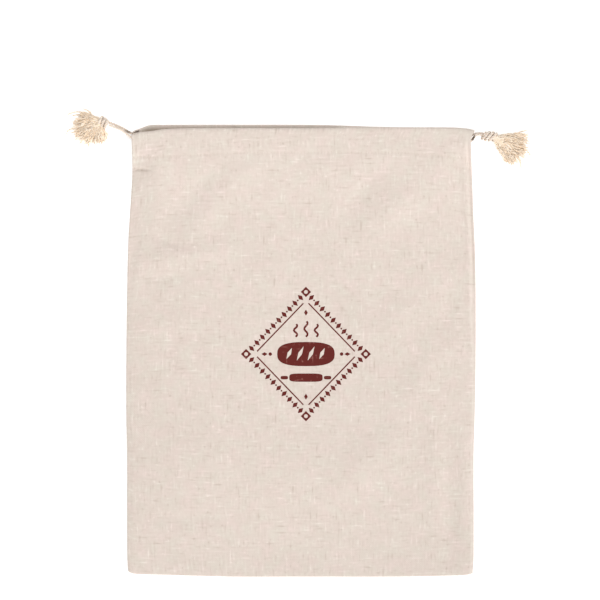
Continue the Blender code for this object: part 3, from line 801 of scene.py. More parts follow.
offset = add(tree, "ShaderNodeVectorRotate", {"Vector": outward, "Axis": tangent, "Angle": angle},
             rotation_type="AXIS_ANGLE")
wound = add(tree, "GeometryNodeSetPosition", {"Geometry": copies["Geometry"], "Offset": offset})
radius = add(tree, MATH, (given["Diameter"], PLY_RADIUS), operation="MULTIPLY")
ring = add(tree, "GeometryNodeCurvePrimitiveCircle", {"Resolution": PLY_SIDES, "Radius": radius},
           mode="RADIUS")
tube = add(tree, "GeometryNodeCurveToMesh", {"Curve": wound, "Profile Curve": ring, "Fill Caps": True})
ply_tree = close_tree(tree, tube, given["Material"])
print("the plying tree has", len(ply_tree.nodes), "nodes")


# %% Make both drawcords
PLIED_DIAMETER = 2.2 * MM      # over the plies' crests, so that the cord's mean thickness is 2 mm
ROUTE_STEP = 3.0               # mm

cotton_material = bpy.data.materials.new("twisted cotton cord")
yarn_material = bpy.data.materials.new("frayed cotton yarn")
cords = {}
for name, route in (("drawcord_left", LEFT_ROUTE), ("drawcord_right", RIGHT_ROUTE)):
    path = smooth_route(route, ROUTE_STEP)
    made = grow(route_curve(name + "_route", [path]), ply_tree, cotton_material,
                {"Diameter": PLIED_DIAMETER}, name + "_plied")
    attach(made, "root")
    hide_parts(name)
    cords[name] = (made, path)


# %% [markdown]
# ## Knots and tassels
#
# Both ends of a cord are tied together in an overhand knot.  From outside that is a barrel of
# three slanting wraps with one pass across them, so the knot is the same plied cord wound round
# a small core.  Past the knot the plies are combed out: thick crimped strands, thinner yarns
# between them, and single hairs.  Each kind is one tree that grows strands from the knot's end
# and lets them fall to the table, with its own counts, spread and crimp.

# %% Knots
KNOT_HEIGHT = 4.9 * MM         # its middle, over the table
KNOT_LENGTH = 9.6 * MM
KNOT_CORD = {"Diameter": 2.5 * MM, "Lay": 8.5 * MM, "Step": 0.6 * MM}
WINDING_STEPS, CROSSING_STEPS = 120, 30
END_TAPER = 0.30               # how much slimmer the knot is at its ends
CROSSING_TURN = 1.1            # radians from straight down to each end of the pass,
CROSSING_SHARE = 0.8           # which runs along this share of the knot,
CROSSING_SUNK = 0.9            # pressed in to this share of its radius
CORE = (4.6, 2.9, 2.9)         # half sizes along, beside and up, in mm
CORE_LUMPS = 0.06
KNOTS = {
    # name: (middle x, y, turn in degrees, which way the yarns leave, radius, wraps, pitch, slant)
    "tassel_left": (-172.2, 198.4, -28.0, -1.0, 3.7, 2.7, 3.0, -0.20),
    "tassel_right": (164.0, 186.2, -8.0, 1.0, 3.6, 2.9, 3.3, 0.62),
}


def knot_frame(name):
    """A knot's middle and its directions: along it, beside it and up."""
    x, y, turn = KNOTS[name][:3]
    along = Vector((math.cos(math.radians(turn)), math.sin(math.radians(turn)), 0.0))
    return Vector((x * MM, y * MM, KNOT_HEIGHT)), along, Vector((-along.y, along.x, 0.0)), Vector((0, 0, 1))


def knot_lines(name):
    """The knot's wraps as one slanting winding, and the pass that crosses them underneath."""
    middle, along, beside, up = knot_frame(name)
    radius, wraps, pitch, slant = KNOTS[name][4:]
    winding = []
    for t in even(WINDING_STEPS):
        angle = 2.0 * math.pi * wraps * (t - 0.5)
        width = radius * (1.0 - END_TAPER * (2.0 * abs(t - 0.5)) ** 4)
        shift = pitch * wraps * (t - 0.5) + slant * width * math.sin(angle)
        winding.append(middle + (along * shift + beside * width * math.sin(angle)
                                 + up * width * math.cos(angle)) * MM)
    crossing = []
    for t in even(CROSSING_STEPS):
        angle = math.pi - CROSSING_TURN + 2.0 * CROSSING_TURN * t
        round_it = (beside * math.sin(angle) + up * math.cos(angle)) * CROSSING_SUNK * radius * MM
        crossing.append(middle + along * (t - 0.5) * CROSSING_SHARE * KNOT_LENGTH + round_it)
    return [winding, crossing]


for name in KNOTS:
    knot = grow(route_curve(name + "_route", knot_lines(name)), ply_tree, cotton_material,
                KNOT_CORD, name + "_knot")
    middle, along, beside, up = knot_frame(name)
    core = bmesh.new()
    bmesh.ops.create_icosphere(core, subdivisions=3, radius=1.0)
    for v in core.verts:
        lump = 1.0 + CORE_LUMPS * noise.noise(v.co * 2.5)
        place = along * v.co.x * CORE[0] + beside * v.co.y * CORE[1] + up * v.co.z * CORE[2]
        v.co = middle + place * MM * lump
    core.from_mesh(knot.data)
    core.to_mesh(knot.data)
    core.free()
    smooth_faces(knot.data)
    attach(knot, "root")


# %% The tree that frays a tassel
TASSELS = {
    # name: first and last direction in degrees, reach in mm at five even places between them
    "tassel_left": (150.0, 290.0, (17.5, 25.5, 28.0, 22.0, 18.5)),
    "tassel_right": (4.0, -60.0, (33.0, 33.5, 35.0, 33.0, 31.0)),
}
LONGEST_REACH = 40.0           # what the reach curve's full height stands for, in mm
ROOT_DEPTH = 2.2 * MM          # the strands start this deep inside the knot,
ROOT_SPAN = 4.6 * MM           # over this height of it,
FALL_SHARE = 0.75              # and have come down to the table after this share of their length
CRIMP_GROWTH = 4.0             # the crimp grows to this many times its size,
CRIMP_SHARE = 0.35             # over this share of a strand's length
LANE = 7.3                     # strands read the crimp's noise this far apart
STRAND_SIDES = 5
STRAND_TIP = 0.55              # how thick a strand's tip is, as a share of its root
TAPER_START = 0.6


def fray_tree(name):
    """Strands that leave the knot's end, spread over a fan and come to lie on the table."""
    first, last, reaches = TASSELS[name]
    middle, along, _, _ = knot_frame(name)
    root = middle + along * KNOTS[name][3] * (0.5 * KNOT_LENGTH - ROOT_DEPTH)
    tree, given = open_tree("fray " + name, {
        "Strands": 60, "Thickness": 0.9 * MM, "Crimp": 0.6 * MM, "Waves": 5.0, "Low": 0.4 * MM,
        "High": 5.6 * MM, "Shortest": 0.75, "Longest": 1.0, "Steps": 18, "Stray": 0.02, "Seed": 1})

    # one straight line for each strand, which keeps its strand's number
    points = add(tree, "GeometryNodeMeshLine", {"Count": given["Strands"]})
    strand = add(tree, "GeometryNodeCurvePrimitiveLine", {"End": (1.0, 0.0, 0.0)})
    strand = add(tree, "GeometryNodeResampleCurve", {"Curve": strand, "Count": given["Steps"]},
                 mode="COUNT")
    fan = add(tree, "GeometryNodeInstanceOnPoints", {"Points": points, "Instance": strand})
    kept = add(tree, "GeometryNodeCaptureAttribute", {"Geometry": fan}, domain="INSTANCE")
    kept.capture_items.new("INT", "strand")
    tree.links.new(add(tree, "GeometryNodeInputIndex").outputs[0], kept.inputs[1])
    real = add(tree, "GeometryNodeRealizeInstances", {0: kept})
    number = kept.outputs[1]
    t = add(tree, "GeometryNodeSplineParameter").outputs["Factor"]

    def chance(low, high, extra):
        """A number for each strand between two limits."""
        seed = add(tree, MATH, (given["Seed"], extra), operation="ADD")
        return add(tree, "FunctionNodeRandomValue", {2: low, 3: high, "ID": number, "Seed": seed},
                   data_type="FLOAT").outputs[1]

    # where in the fan a strand points, and how far it reaches there
    share = add(tree, MATH, (number, given["Strands"]), operation="DIVIDE")
    share = add(tree, MATH, (chance(-1.0, 1.0, 1), given["Stray"], share), operation="MULTIPLY_ADD")
    heading = add(tree, "ShaderNodeMapRange", {"Value": share, "To Min": math.radians(first),
                  "To Max": math.radians(last)}, clamp=False)
    curve = add(tree, "ShaderNodeFloatCurve", {"Value": share})
    points = curve.mapping.curves[0].points
    for place, reach in zip((0.25, 0.5, 0.75), reaches[1:4]):
        points.new(place, reach / LONGEST_REACH)
    points[0].location = (0.0, reaches[0] / LONGEST_REACH)
    points[len(points) - 1].location = (1.0, reaches[4] / LONGEST_REACH)
    curve.mapping.update()
    reach = add(tree, MATH, (curve, LONGEST_REACH * MM), operation="MULTIPLY")
    reach = add(tree, MATH, (reach, chance(given["Shortest"], given["Longest"], 2)), operation="MULTIPLY")
    out = add(tree, MATH, (reach, t), operation="MULTIPLY")

    # from its place in the knot down to the layer where it comes to lie
    layer = chance(0.0, 1.0, 6)
    leaves = add(tree, MATH, (layer, ROOT_SPAN, KNOT_HEIGHT - 0.5 * ROOT_SPAN), operation="MULTIPLY_ADD")
    depth = add(tree, MATH, (given["High"], given["Low"]), operation="SUBTRACT")
    lies = add(tree, MATH, (layer, depth, given["Low"]), operation="MULTIPLY_ADD")
    fall = add(tree, "ShaderNodeMapRange", {"Value": t, "From Max": FALL_SHARE, "To Min": leaves,
               "To Max": lies}, interpolation_type="SMOOTHSTEP")
    straight = add(tree, "ShaderNodeCombineXYZ", {0: out, 2: fall})

    # the crimp that the twist has left, which grows along the strand
    waves = add(tree, MATH, (t, given["Waves"]), operation="MULTIPLY")
    lane = add(tree, MATH, (number, LANE), operation="MULTIPLY")
    where = add(tree, "ShaderNodeCombineXYZ", {0: waves, 1: lane, 2: given["Seed"]})
    wander = add(tree, "ShaderNodeTexNoise", {"Vector": where, "Scale": 1.0, "Detail": 1.5,
                 "Roughness": 0.6}).outputs["Color"]
    wander = add(tree, VECTOR, {0: wander, 1: (0.5, 0.5, 0.5)}, operation="SUBTRACT")
    growth = add(tree, "ShaderNodeMapRange", {"Value": t, "From Max": CRIMP_SHARE, "To Max": CRIMP_GROWTH})
    growth = add(tree, MATH, (growth, given["Crimp"]), operation="MULTIPLY")
    crimp = add(tree, VECTOR, {0: wander, "Scale": growth}, operation="SCALE")
    bent = add(tree, VECTOR, {0: straight, 1: crimp}, operation="ADD")
    turned = add(tree, "ShaderNodeVectorRotate", {"Vector": bent, "Angle": heading},
                 rotation_type="Z_AXIS")
    placed = add(tree, VECTOR, {0: turned, 1: (root.x, root.y, 0.0)}, operation="ADD")

    # no strand sinks into the table
    lowest = add(tree, MATH, (given["Thickness"], 0.55), operation="MULTIPLY")
    lowest = add(tree, "ShaderNodeCombineXYZ", {0: -1.0, 1: -1.0, 2: lowest})
    placed = add(tree, VECTOR, {0: placed, 1: lowest}, operation="MAXIMUM")
    laid = add(tree, "GeometryNodeSetPosition", {"Geometry": real, "Position": placed})

    # each strand's own number stays on it, so that the material can tint it
    laid = add(tree, "GeometryNodeStoreNamedAttribute", {"Geometry": laid, "Name": "tint",
               "Value": chance(0.0, 1.0, 7)}, data_type="FLOAT", domain="POINT")
    radius = add(tree, MATH, (given["Thickness"], 0.5), operation="MULTIPLY")
    ring = add(tree, "GeometryNodeCurvePrimitiveCircle", {"Resolution": STRAND_SIDES, "Radius": radius},
               mode="RADIUS")
    taper = add(tree, "ShaderNodeMapRange", {"Value": t, "From Min": TAPER_START, "To Min": 1.0,
                "To Max": STRAND_TIP})
    tube = add(tree, "GeometryNodeCurveToMesh", {"Curve": laid, "Profile Curve": ring, "Scale": taper,
               "Fill Caps": True})
    return close_tree(tree, tube, given["Material"])


# %% Grow the tassels
STRANDS = (
    # what, strands, thickness, crimp, waves, low, high, shortest, longest, steps, stray
    ("locks", 56, 1.90, 1.60, 3.6, 0.7, 4.4, 0.76, 0.97, 30, 0.04),
    ("plies", 80, 1.25, 1.90, 5.0, 0.5, 5.6, 0.60, 1.00, 34, 0.05),
    ("yarns", 90, 0.60, 1.90, 6.5, 0.4, 6.4, 0.60, 1.04, 34, 0.06),
    ("hairs", 110, 0.16, 1.80, 4.5, 0.2, 7.0, 0.60, 1.12, 22, 0.09),
)
LOOSE_YARNS = {
    # a few single yarns that have escaped, each a given line in mm
    "tassel_left": (
        ((-178, 200, 4), (-184, 205, 3), (-190, 207.5, 1.6), (-197, 207.6, 0.8), (-203.5, 205.4, 0.5)),
        ((-181, 203, 4), (-183.6, 206.6, 3.2), (-186.6, 209.4, 2.2), (-189.6, 210.4, 1.2)),
        ((-192, 194, 1.5), (-198, 193.4, 1), (-203, 191.6, 0.6), (-204.4, 188, 0.5)),
        ((-186, 205, 2), (-193, 205.6, 1.2), (-199.5, 204.2, 0.7)),
    ),
    "tassel_right": (
        ((186, 188, 1.6), (192, 190.6, 1), (197.6, 191.4, 0.6)),
        ((186, 172, 1.6), (191, 164, 0.9), (192, 158.6, 0.5)),
        ((190, 178, 1.6), (197, 174, 0.8), (200.2, 169.5, 0.5)),
    ),
}
LOOSE_STEP = 1.5               # mm
LOOSE_YARN = {"Diameter": 1.0 * MM, "Lay": 5.0 * MM, "Plies": 2, "Step": 1.0 * MM}
for index, name in enumerate(TASSELS):
    tree = fray_tree(name)
    routes = [smooth_route(route, LOOSE_STEP) for route in LOOSE_YARNS[name]]
    grown = [grow(route_curve("loose", routes), ply_tree, yarn_material, LOOSE_YARN, name + "_loose")]
    for what, strands, thickness, crimp, waves, low, high, shortest, longest, steps, stray in STRANDS:
        source = route_curve("start", [[Vector((0, 0, 0)), Vector((0, 0, MM))]])
        grown.append(grow(source, tree, yarn_material, {
            "Strands": strands, "Thickness": thickness * MM, "Crimp": crimp * MM, "Waves": waves,
            "Low": low * MM, "High": high * MM, "Shortest": shortest, "Longest": longest,
            "Steps": steps, "Stray": stray, "Seed": 3 + 5 * index + 11 * len(grown),
        }, name + "_" + what))
    whole = bmesh.new()
    for piece in grown:
        whole.from_mesh(piece.data)
        bpy.data.objects.remove(piece, do_unlink=True)
    mesh = bpy.data.meshes.new(name + "_frayed")
    whole.to_mesh(mesh)
    whole.free()
    mesh.materials.append(yarn_material)
    smooth_faces(mesh)
    frayed = to_scene(name + "_frayed", mesh)
    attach(frayed, "root")
    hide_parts(name)
    print(name, len(mesh.polygons), "faces")


for name, exit_point, tassel in (("drawcord_left", (-0.147, 0.1851, 0.0074), "tassel_left"),
                                 ("drawcord_right", (0.147, 0.1839, 0.0074), "tassel_right")):
    made, path = cords[name]


# %% [markdown]
# ## Stitches
#
# A row of machine stitches closes each casing, and a short row goes round the end of each side
# slit.  Only the front's rows are made, because the back lies on the table.  A stitch is a tiny
# bowed piece of thread that dips into the cloth at both ends.  One tree puts a stitch at every
# pitch along a line, turned to follow it.

# %% Stitch tree
STITCH_PITCH = 2.9 * MM
STITCH_LENGTH = 2.3 * MM
THREAD = 0.36 * MM
THREAD_SIDES, THREAD_STEPS = 6, 6

tree, given = open_tree("machine stitches", {"Pitch": STITCH_PITCH, "Length": STITCH_LENGTH,
                                             "Thread": THREAD})
line = add(tree, "GeometryNodeResampleCurve", {"Curve": given["Geometry"], "Length": given["Pitch"]},
           mode="LENGTH")
points = add(tree, "GeometryNodeCurveToPoints", {"Curve": line}, mode="EVALUATED")
half = add(tree, MATH, (given["Length"], 0.5), operation="MULTIPLY")
back = add(tree, MATH, (half, -1.0), operation="MULTIPLY")
sunk = add(tree, MATH, (given["Thread"], -0.9), operation="MULTIPLY")
crest = add(tree, MATH, (given["Thread"], 0.75), operation="MULTIPLY")
bow = add(tree, "GeometryNodeCurveQuadraticBezier", {
    "Resolution": THREAD_STEPS, "Start": add(tree, "ShaderNodeCombineXYZ", {0: back, 2: sunk}),
    "Middle": add(tree, "ShaderNodeCombineXYZ", {2: crest}),
    "End": add(tree, "ShaderNodeCombineXYZ", {0: half, 2: sunk})})
radius = add(tree, MATH, (given["Thread"], 0.5), operation="MULTIPLY")
ring = add(tree, "GeometryNodeCurvePrimitiveCircle", {"Resolution": THREAD_SIDES, "Radius": radius},
           mode="RADIUS")
thread = add(tree, "GeometryNodeCurveToMesh", {"Curve": bow, "Profile Curve": ring, "Fill Caps": True})
laid = add(tree, "GeometryNodeInstanceOnPoints", {"Points": points, "Instance": thread,
           "Rotation": points.outputs["Rotation"]})
stitch_tree = close_tree(tree, laid, given["Material"])
print("the stitch tree has", len(stitch_tree.nodes), "nodes")


# %% Sew
ROW_END = 145                  # mm from the middle, where the casing's stitches stop
ROW_STEP = 3
SLIT_START = 2.0 * MM          # the slit's stitches begin this far in from the side


def along_line(a, b, count):
    """Places at even steps from a to b."""
    return [(a[0] + (b[0] - a[0]) * t, a[1] + (b[1] - a[1]) * t) for t in even(count)]


def on_front(x, y):
    """A place on the front panel's face."""
    return Vector((x, y, front_faces(x, y)[0]))


front_lines = [[on_front(x * MM, end(x * MM, STITCHES)) for x in range(-ROW_END, ROW_END + 1, ROW_STEP)]]
for column, inwards in ((LEFT, 1.0), (RIGHT, -1.0)):
    edge = side(SLIT_END, column)
    corner = (edge + inwards * SLIT_HEM, SLIT_STITCH_LOW)
    upright = along_line((corner[0], SLIT_STITCH_HIGH), corner, 6)
    level = along_line(corner, (edge + inwards * SLIT_START, SLIT_STITCH_LOW), 8)
    front_lines.append([on_front(x, y) for x, y in upright + level[1:]])
thread_material = bpy.data.materials.new("cotton sewing thread")
seams = grow(route_curve("seam_lines", front_lines), stitch_tree, thread_material, {}, "front_stitches")
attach(seams, "root")


# %% [markdown]
# ## The print
#
# A dark red-brown motif is block-printed on the front: a loaf and a rolling pin in a diamond of
# lozenges and dots.  Ink has no thickness of its own.  So the motif is cut as flat shapes, laid a
# hair above the cloth, and given the cloth's own weave with the ink worn off the highest threads.

# %% Shapes of the motif
PRINT_MIDDLE = (4.3, -3.3)     # mm
PRINT_LIFT = 0.07 * MM
DISC_SIDES, BAR_SIDES = 14, 36
BORDER_COUNT = 10              # lozenges along one side of the diamond
INNER_SIZE = 0.86              # size of the thin inner diamond, as a share of the outer one


def disc(x, y, radius):
    """A round dot, as a closed outline in millimetres."""
    turns = [2.0 * math.pi * i / DISC_SIDES for i in range(DISC_SIDES)]
    return [(x + radius * math.cos(turn), y + radius * math.sin(turn)) for turn in turns]


def lozenge(x, y, degrees, length, width):
    """A four-pointed lozenge about a place, its long way at an angle."""
    c, s = math.cos(math.radians(degrees)), math.sin(math.radians(degrees))
    corners = ((length / 2, 0.0), (0.0, width / 2), (-length / 2, 0.0), (0.0, -width / 2))
    return [(x + c * u - s * v, y + s * u + c * v) for u, v in corners]


def band(points, width):
    """A stroke of even width along points."""
    left, right = [], []
    for i, (x, y) in enumerate(points):
        x0, y0 = points[max(i - 1, 0)]
        x1, y1 = points[min(i + 1, len(points) - 1)]
        size = math.hypot(x1 - x0, y1 - y0)
        nx, ny = -(y1 - y0) / size * width / 2, (x1 - x0) / size * width / 2
        left.append((x + nx, y + ny))
        right.append((x - nx, y - ny))
    return left + right[::-1]


def rounded(x, y, half_length, half_height, power):
    """A rounded bar about a place; a power of 1 makes an ellipse, and a lower one is squarer."""
    outline = []
    for i in range(BAR_SIDES):
        angle = 2.0 * math.pi * i / BAR_SIDES
        c, s = math.cos(angle), math.sin(angle)
        outline.append((x + half_length * math.copysign(abs(c) ** power, c),
                        y + half_height * math.copysign(abs(s) ** power, s)))
    return outline


def motif():
    """All outlines of the print; none crosses another, and one inside another is a hole."""
    shapes = [rounded(0.0, 0.0, 25.0, 10.5, 0.72)]                  # the loaf
    for x, length in ((-14.5, 11.0), (-5.0, 14.0), (4.5, 14.0), (14.0, 11.0)):
        shapes.append(lozenge(x, 0.5, 64.0, length, 3.4))           # its four cuts
    for x, rise in ((-9.0, 1.1), (0.0, 1.35), (9.0, 1.1)):          # three curls of steam
        shapes.append(band([(x + 1.5 * math.sin(t * 0.9), 15.0 + rise * t) for t in range(11)], 1.7))
    shapes.append(rounded(0.0, -20.5, 14.5, 3.6, 0.45))             # a rolling pin
    for way in (-1.0, 1.0):
        shapes.append(rounded(way * 18.8, -20.5, 3.2, 1.5, 0.6))    # its handles
        shapes.append(disc(way * 31.0, 0.0, 1.5))
        shapes.append(lozenge(way * 36.0, 0.0, 0.0, 5.4, 3.2))
        shapes.append(lozenge(0.0, way * 36.5 - 0.5, 90.0, 5.4, 3.2))
    corners = [(0.0, 54.0), (52.0, 0.0), (0.0, -54.0), (-52.0, 0.0)]
    for (x0, y0), (x1, y1) in zip(corners, corners[1:] + corners[:1]):
        dx, dy = x1 - x0, y1 - y0
        crosswise = math.degrees(math.atan2(dy, dx)) + 90.0
        for i in range(BORDER_COUNT):                               # a row of lozenges and dots
            t = (i + 1.0) / (BORDER_COUNT + 1.0)
            x, y = x0 + dx * t, y0 + dy * t
            shapes.append(lozenge(x, y, crosswise, 6.6, 3.9))
            if i < BORDER_COUNT - 1:
                halves = 2.0 * (BORDER_COUNT + 1.0)
                shapes.append(disc(x + dx / halves, y + dy / halves, 0.75))
        size = INNER_SIZE
        inner = [(x0 * size + dx * size * t, y0 * size + dy * size * t) for t in (0.05, 0.5, 0.95)]
        shapes.append(band(inner, 1.1))                             # a thin line inside the row
        shapes.append(lozenge(x0, y0, 0.0, 9.0, 9.0))               # a tile with a hole at each corner
        shapes.append(disc(x0, y0, 1.7))
    return shapes


# %% Lay the motif on the cloth
PATCH = 2.0                    # mm: the motif is cut into patches this wide, so that it can bend,
PATCHES_OUT = 32               # this many to each side of its middle


def filled(shapes):
    """Fill outlines as one flat mesh; an outline inside another is a hole."""
    data = bpy.data.curves.new("outlines", "CURVE")
    data.dimensions = "2D"
    data.fill_mode = "BOTH"
    for shape in shapes:
        spline = data.splines.new("POLY")
        spline.points.add(len(shape) - 1)
        spline.use_cyclic_u = True
        for point, (x, y) in zip(spline.points, shape):
            point.co = ((x + PRINT_MIDDLE[0]) * MM, (y + PRINT_MIDDLE[1]) * MM, 0.0, 1.0)
    holder = to_scene("outlines", data)
    mesh = bpy.data.meshes.new_from_object(holder.evaluated_get(bpy.context.evaluated_depsgraph_get()))
    bpy.data.objects.remove(holder, do_unlink=True)
    return mesh


ink_data = bmesh.new()
ink_data.from_mesh(filled(motif()))
for normal in (Vector((1.0, 0.0, 0.0)), Vector((0.0, 1.0, 0.0))):
    for k in range(-PATCHES_OUT, PATCHES_OUT + 1):
        cut = Vector((PRINT_MIDDLE[0] + PATCH * k, PRINT_MIDDLE[1] + PATCH * k, 0.0)) * MM
        bmesh.ops.bisect_plane(ink_data, geom=ink_data.verts[:] + ink_data.edges[:] + ink_data.faces[:],
                               plane_co=cut, plane_no=normal, dist=1e-7)
uv_layer = ink_data.loops.layers.uv.new("flat cloth")
for v in ink_data.verts:
    v.co.z += cloth_level(v.co.x, v.co.y) + PRINT_LIFT
bmesh.ops.recalc_face_normals(ink_data, faces=ink_data.faces)
for face in ink_data.faces:
    if face.normal.z < 0.0:
        face.normal_flip()
    face.smooth = True
    for loop in face.loops:
        loop[uv_layer].uv = (loop.vert.co.x, loop.vert.co.y)
ink_mesh = bpy.data.meshes.new("front_print")
ink_data.to_mesh(ink_mesh)
ink_data.free()
ink = to_scene("front_print", ink_mesh)
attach(ink, "root")
print("print:", len(ink_mesh.polygons), "faces")


# %% [markdown]
# ## Linen
#
# Linen is a plain weave of flax yarn.  Flax is never even: a yarn swells into slubs, so the cloth
# shows short streaks along both thread directions, and washing leaves soft lighter and darker
# clouds.  Image textures could hold this, but noise stretched along the flat cloth's map gives it
# at any size.  Real slubs are under 1 mm wide.  They are drawn about 2 mm wide, because finer ones
# wouldn't show.  The weave is finer still, so it is only bump.

# %% The weave and its slubs
THREAD_PITCH = 0.80 * MM       # one warp or weft thread and its gap
WEAVE_HEIGHT = 0.30            # how much the weave counts in the bump, beside the rows below
BUMP_DEPTH = 0.35 * MM
BUMP_STRENGTH = 0.40

PATTERN = (
    # width along u and along v in mm, seed, detail, slubs, weight in the colour, weight in the height
    (1.9, 7.0, 3.0, 0.0, 1, 1.0, 1.2),          # warp yarns
    (6.0, 1.9, 11.0, 0.0, 1, 0.9, 1.1),         # weft yarns
    (1.9, 12.0, 5.0, 0.0, 2, 11.0, 7.0),        # long slubs in the warp, few and plain to see
    (11.0, 1.9, 17.0, 0.0, 2, 11.0, 7.0),       # and in the weft
    (2.5, 2.9, 29.0, 0.0, 2, 10.0, 3.0),        # bits of husk and bleached knots
    (2.6, 3.0, 23.0, 1.0, 0, 0.15, 0.15),       # flecks
    (8.0, 9.0, 47.0, 1.0, 0, 0.22, 0.0),        # small clouds
    (26.0, 22.0, 31.0, 2.0, 0, 0.36, 0.0),      # what washing leaves
)


def cloth_pattern(tree):
    """The cloth's colour share and its bump, from the flat cloth's map in metres."""
    flat = add(tree, "ShaderNodeUVMap", uv_map="flat cloth")
    across, along = add(tree, "ShaderNodeSeparateXYZ", (flat,)).outputs[:2]
    over = add(tree, MATH, (across, math.pi / THREAD_PITCH), operation="MULTIPLY")
    over = add(tree, MATH, (over,), operation="SINE")
    under = add(tree, MATH, (along, math.pi / THREAD_PITCH), operation="MULTIPLY")
    under = add(tree, MATH, (under,), operation="SINE")
    weave = add(tree, MATH, (over, under), operation="MULTIPLY")
    height = add(tree, MATH, (weave, WEAVE_HEIGHT), operation="MULTIPLY")
    colour = 0.0
    for width, length, seed, detail, slubs, in_colour, in_height in PATTERN:
        scale = (1.0 / (width * MM), 1.0 / (length * MM), 1.0)
        place = add(tree, VECTOR, (flat, scale, (0.0, 0.0, seed)), operation="MULTIPLY_ADD")
        patch = add(tree, "ShaderNodeTexNoise", {"Vector": place, "Scale": 1.0, "Detail": detail,
                    "Roughness": 0.55}).outputs["Fac"]
        patch = add(tree, MATH, (patch, 0.5), operation="SUBTRACT")
        size = add(tree, MATH, (patch,), operation="ABSOLUTE")
        for _ in range(slubs):
            # times its own size: most of a yarn stays plain, and its few slubs stand out
            patch = add(tree, MATH, (patch, size), operation="MULTIPLY")
        colour = add(tree, MATH, (patch, in_colour, colour), operation="MULTIPLY_ADD")
        height = add(tree, MATH, (patch, in_height, height), operation="MULTIPLY_ADD")
    return colour, add(tree, "ShaderNodeBump", {"Height": height, "Strength": BUMP_STRENGTH,
                                                "Distance": BUMP_DEPTH})


# %% Linen's colours
SHARE_REACH = 0.62             # the pattern's colour share runs this far to each side of 0
WARMTH_SIZE = 13.0 * MM        # of the patches that are rosier or greener

# washed flax is matt with a faint bloom of fibres: pale yarns, some rosier and some greener
linen = bpy.data.materials.new("washed linen, plain weave")
tree = open_material(linen)
share, bump = cloth_pattern(tree)
shade = add(tree, "ShaderNodeMapRange", {"Value": share, "From Min": -SHARE_REACH, "From Max": SHARE_REACH})
place = add(tree, "ShaderNodeUVMap", uv_map="flat cloth")
warmth = add(tree, "ShaderNodeTexNoise", {"Vector": place, "Scale": 1.0 / WARMTH_SIZE,
             "Detail": 1.0}).outputs["Fac"]
warmth = add(tree, "ShaderNodeMapRange", {"Value": warmth, "From Min": 0.3, "From Max": 0.7})
light = add(tree, MIX, {0: warmth, 6: linear("#E5DED3"), 7: linear("#EADAD3")}, data_type="RGBA")
colour = add(tree, MIX, {0: shade, 6: linear("#CBBDB2"), 7: light.outputs[2]}, data_type="RGBA")

PAINTED_SHADE_AND_HIGHLIGHT = (
    # painted shade and highlight: the attribute of the mesh, the colour it leads to, how far
    ("inside", "#8A7A68", 0.75),        # painted shade inside the mouth, darker with depth
    ("seam_highlight", "#F4ECE2", 0.34),       # painted highlight along the right seam, where the turned-in allowance backs the thin linen
)
# the painted shade in the mouth and the painted highlight along the right seam are mixed into the linen's
# colour
for attribute, tint, most in PAINTED_SHADE_AND_HIGHLIGHT:
    amount = add(tree, "ShaderNodeAttribute", attribute_name=attribute, attribute_type="GEOMETRY")
    amount = add(tree, MATH, (amount.outputs["Fac"], most), operation="MULTIPLY")
    colour = add(tree, MIX, {0: amount, 6: colour.outputs[2], 7: linear(tint)}, data_type="RGBA")
close_material(tree, {"Base Color": colour.outputs[2], "Normal": bump, "Roughness": 0.92,
                      "Sheen Weight": 0.12, "Sheen Roughness": 0.6, "Specular IOR Level": 0.25})
cloth.data.materials.append(linen)
print(linen.name, "has", len(tree.nodes), "nodes")


# %% Ink on linen
# pigment soaks into the yarns and dries matt, and wears off the slubs first
ink_material = bpy.data.materials.new("pigment ink on linen")
tree = open_material(ink_material)
share, bump = cloth_pattern(tree)
bare = add(tree, "ShaderNodeMapRange", {"Value": share, "From Min": 0.10, "From Max": 0.55,
           "To Min": 0.0, "To Max": 0.5})
colour = add(tree, MIX, {0: bare, 6: linear("#63241F"), 7: linear("#AD7A70")}, data_type="RGBA")
close_material(tree, {"Base Color": colour.outputs[2], "Normal": bump, "Roughness": 0.85,
                      "Specular IOR Level": 0.2})
ink.data.materials.append(ink_material)
print(ink_material.name, "has", len(tree.nodes), "nodes")


# %% [markdown]
# ## Cotton
#
# The cord is unbleached cotton, spun and plied.  Its colour is a little yellower than the linen,
# and light sinks a little way into it.  Fine noise stands for its fibres, and coarser noise for the
# unevenness of the spinning.  Where the twist is combed out, each strand has its own tint.

# %% Cord, yarn and thread
COTTONS = (
    # material, darkest, lightest, grain in mm, bump, how much light passes into it
    (cotton_material, "#DDCDBE", "#FAEFE4", 0.45, 0.6, 0.30),       # spun tight: creamy, softly lit
    (yarn_material, "#EDD6B8", "#FDEFDF", 0.40, 0.3, 0.15),         # combed out: fluffy and yellower
    (thread_material, "#CDBFB2", "#E6DACE", 0.30, 0.4, 0.0),        # fine and matt, near the linen
)
CLOUD = 9.0                    # the spinning's unevenness is this many times as wide as the grain
FIBRE_DEPTH = 0.12 * MM
TINT_WEIGHT = 0.35             # how much a strand's own tint counts beside the fibres
LIGHT_DEPTH = 0.6 * MM         # how far light sinks in
# painted shade on the cords where they leave the casings
CORD_EXIT_SHADE = (
    # centre of the painted shade, half its size across x and y, how dark
    (Vector((149.9, 184.8, 7.0)) * MM, 1.8 * MM, 3.2 * MM, 0.90),
    (Vector((-149.2, 191.0, 2.6)) * MM, 4.2 * MM, 1.8 * MM, 0.60),
)
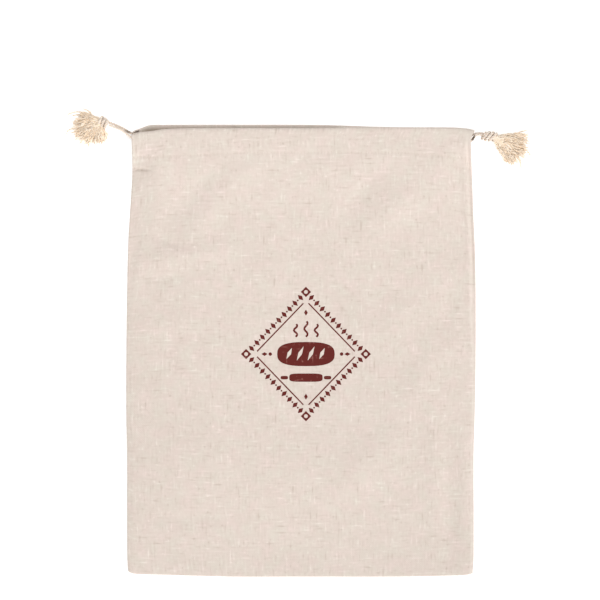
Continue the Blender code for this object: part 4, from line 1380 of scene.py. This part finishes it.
for material, dark, light, grain, bumps, soaked in COTTONS:
    tree = open_material(material)
    place = add(tree, "ShaderNodeTexCoord").outputs["Object"]
    fibres = add(tree, "ShaderNodeTexNoise", {"Vector": place, "Scale": 1.0 / (grain * MM),
                 "Detail": 3.0, "Roughness": 0.65}).outputs["Fac"]
    clouds = add(tree, "ShaderNodeTexNoise", {"Vector": place, "Scale": 1.0 / (CLOUD * grain * MM),
                 "Detail": 1.0}).outputs["Fac"]
    tint = add(tree, "ShaderNodeAttribute", attribute_name="tint", attribute_type="GEOMETRY").outputs["Fac"]
    both = add(tree, MATH, (fibres, clouds), operation="ADD")
    both = add(tree, MATH, (tint, TINT_WEIGHT, both), operation="MULTIPLY_ADD")
    share = add(tree, "ShaderNodeMapRange", {"Value": both, "From Min": 0.72, "From Max": 1.52})
    colour = add(tree, MIX, {0: share, 6: linear(dark), 7: linear(light)}, data_type="RGBA")
    for centre, half_x, half_y, darkest in CORD_EXIT_SHADE if material is cotton_material else ():
        # painted shade: a cord is darkened where it leaves its casing
        away = add(tree, VECTOR, (place, centre), operation="SUBTRACT")
        away = add(tree, VECTOR, (away, (1.0 / half_x, 1.0 / half_y, 0.0)), operation="MULTIPLY")
        away = add(tree, VECTOR, (away,), operation="LENGTH").outputs["Value"]
        exit_shade = add(tree, "ShaderNodeMapRange", {"Value": away, "From Min": 1.3, "From Max": 0.6,
                     "To Min": 0.0, "To Max": darkest})
        colour = add(tree, MIX, {0: exit_shade, 6: colour.outputs[2], 7: linear("#5A4636")}, data_type="RGBA")
    bump = add(tree, "ShaderNodeBump", {"Height": fibres, "Strength": bumps, "Distance": FIBRE_DEPTH})
    close_material(tree, {
        "Base Color": colour.outputs[2], "Normal": bump, "Roughness": 0.9, "Specular IOR Level": 0.25,
        "Sheen Weight": 0.2, "Sheen Roughness": 0.5, "Subsurface Weight": soaked,
        "Subsurface Radius": (1.0, 0.85, 0.7), "Subsurface Scale": LIGHT_DEPTH})
print("materials:", [material.name for material in bpy.data.materials if material.users])
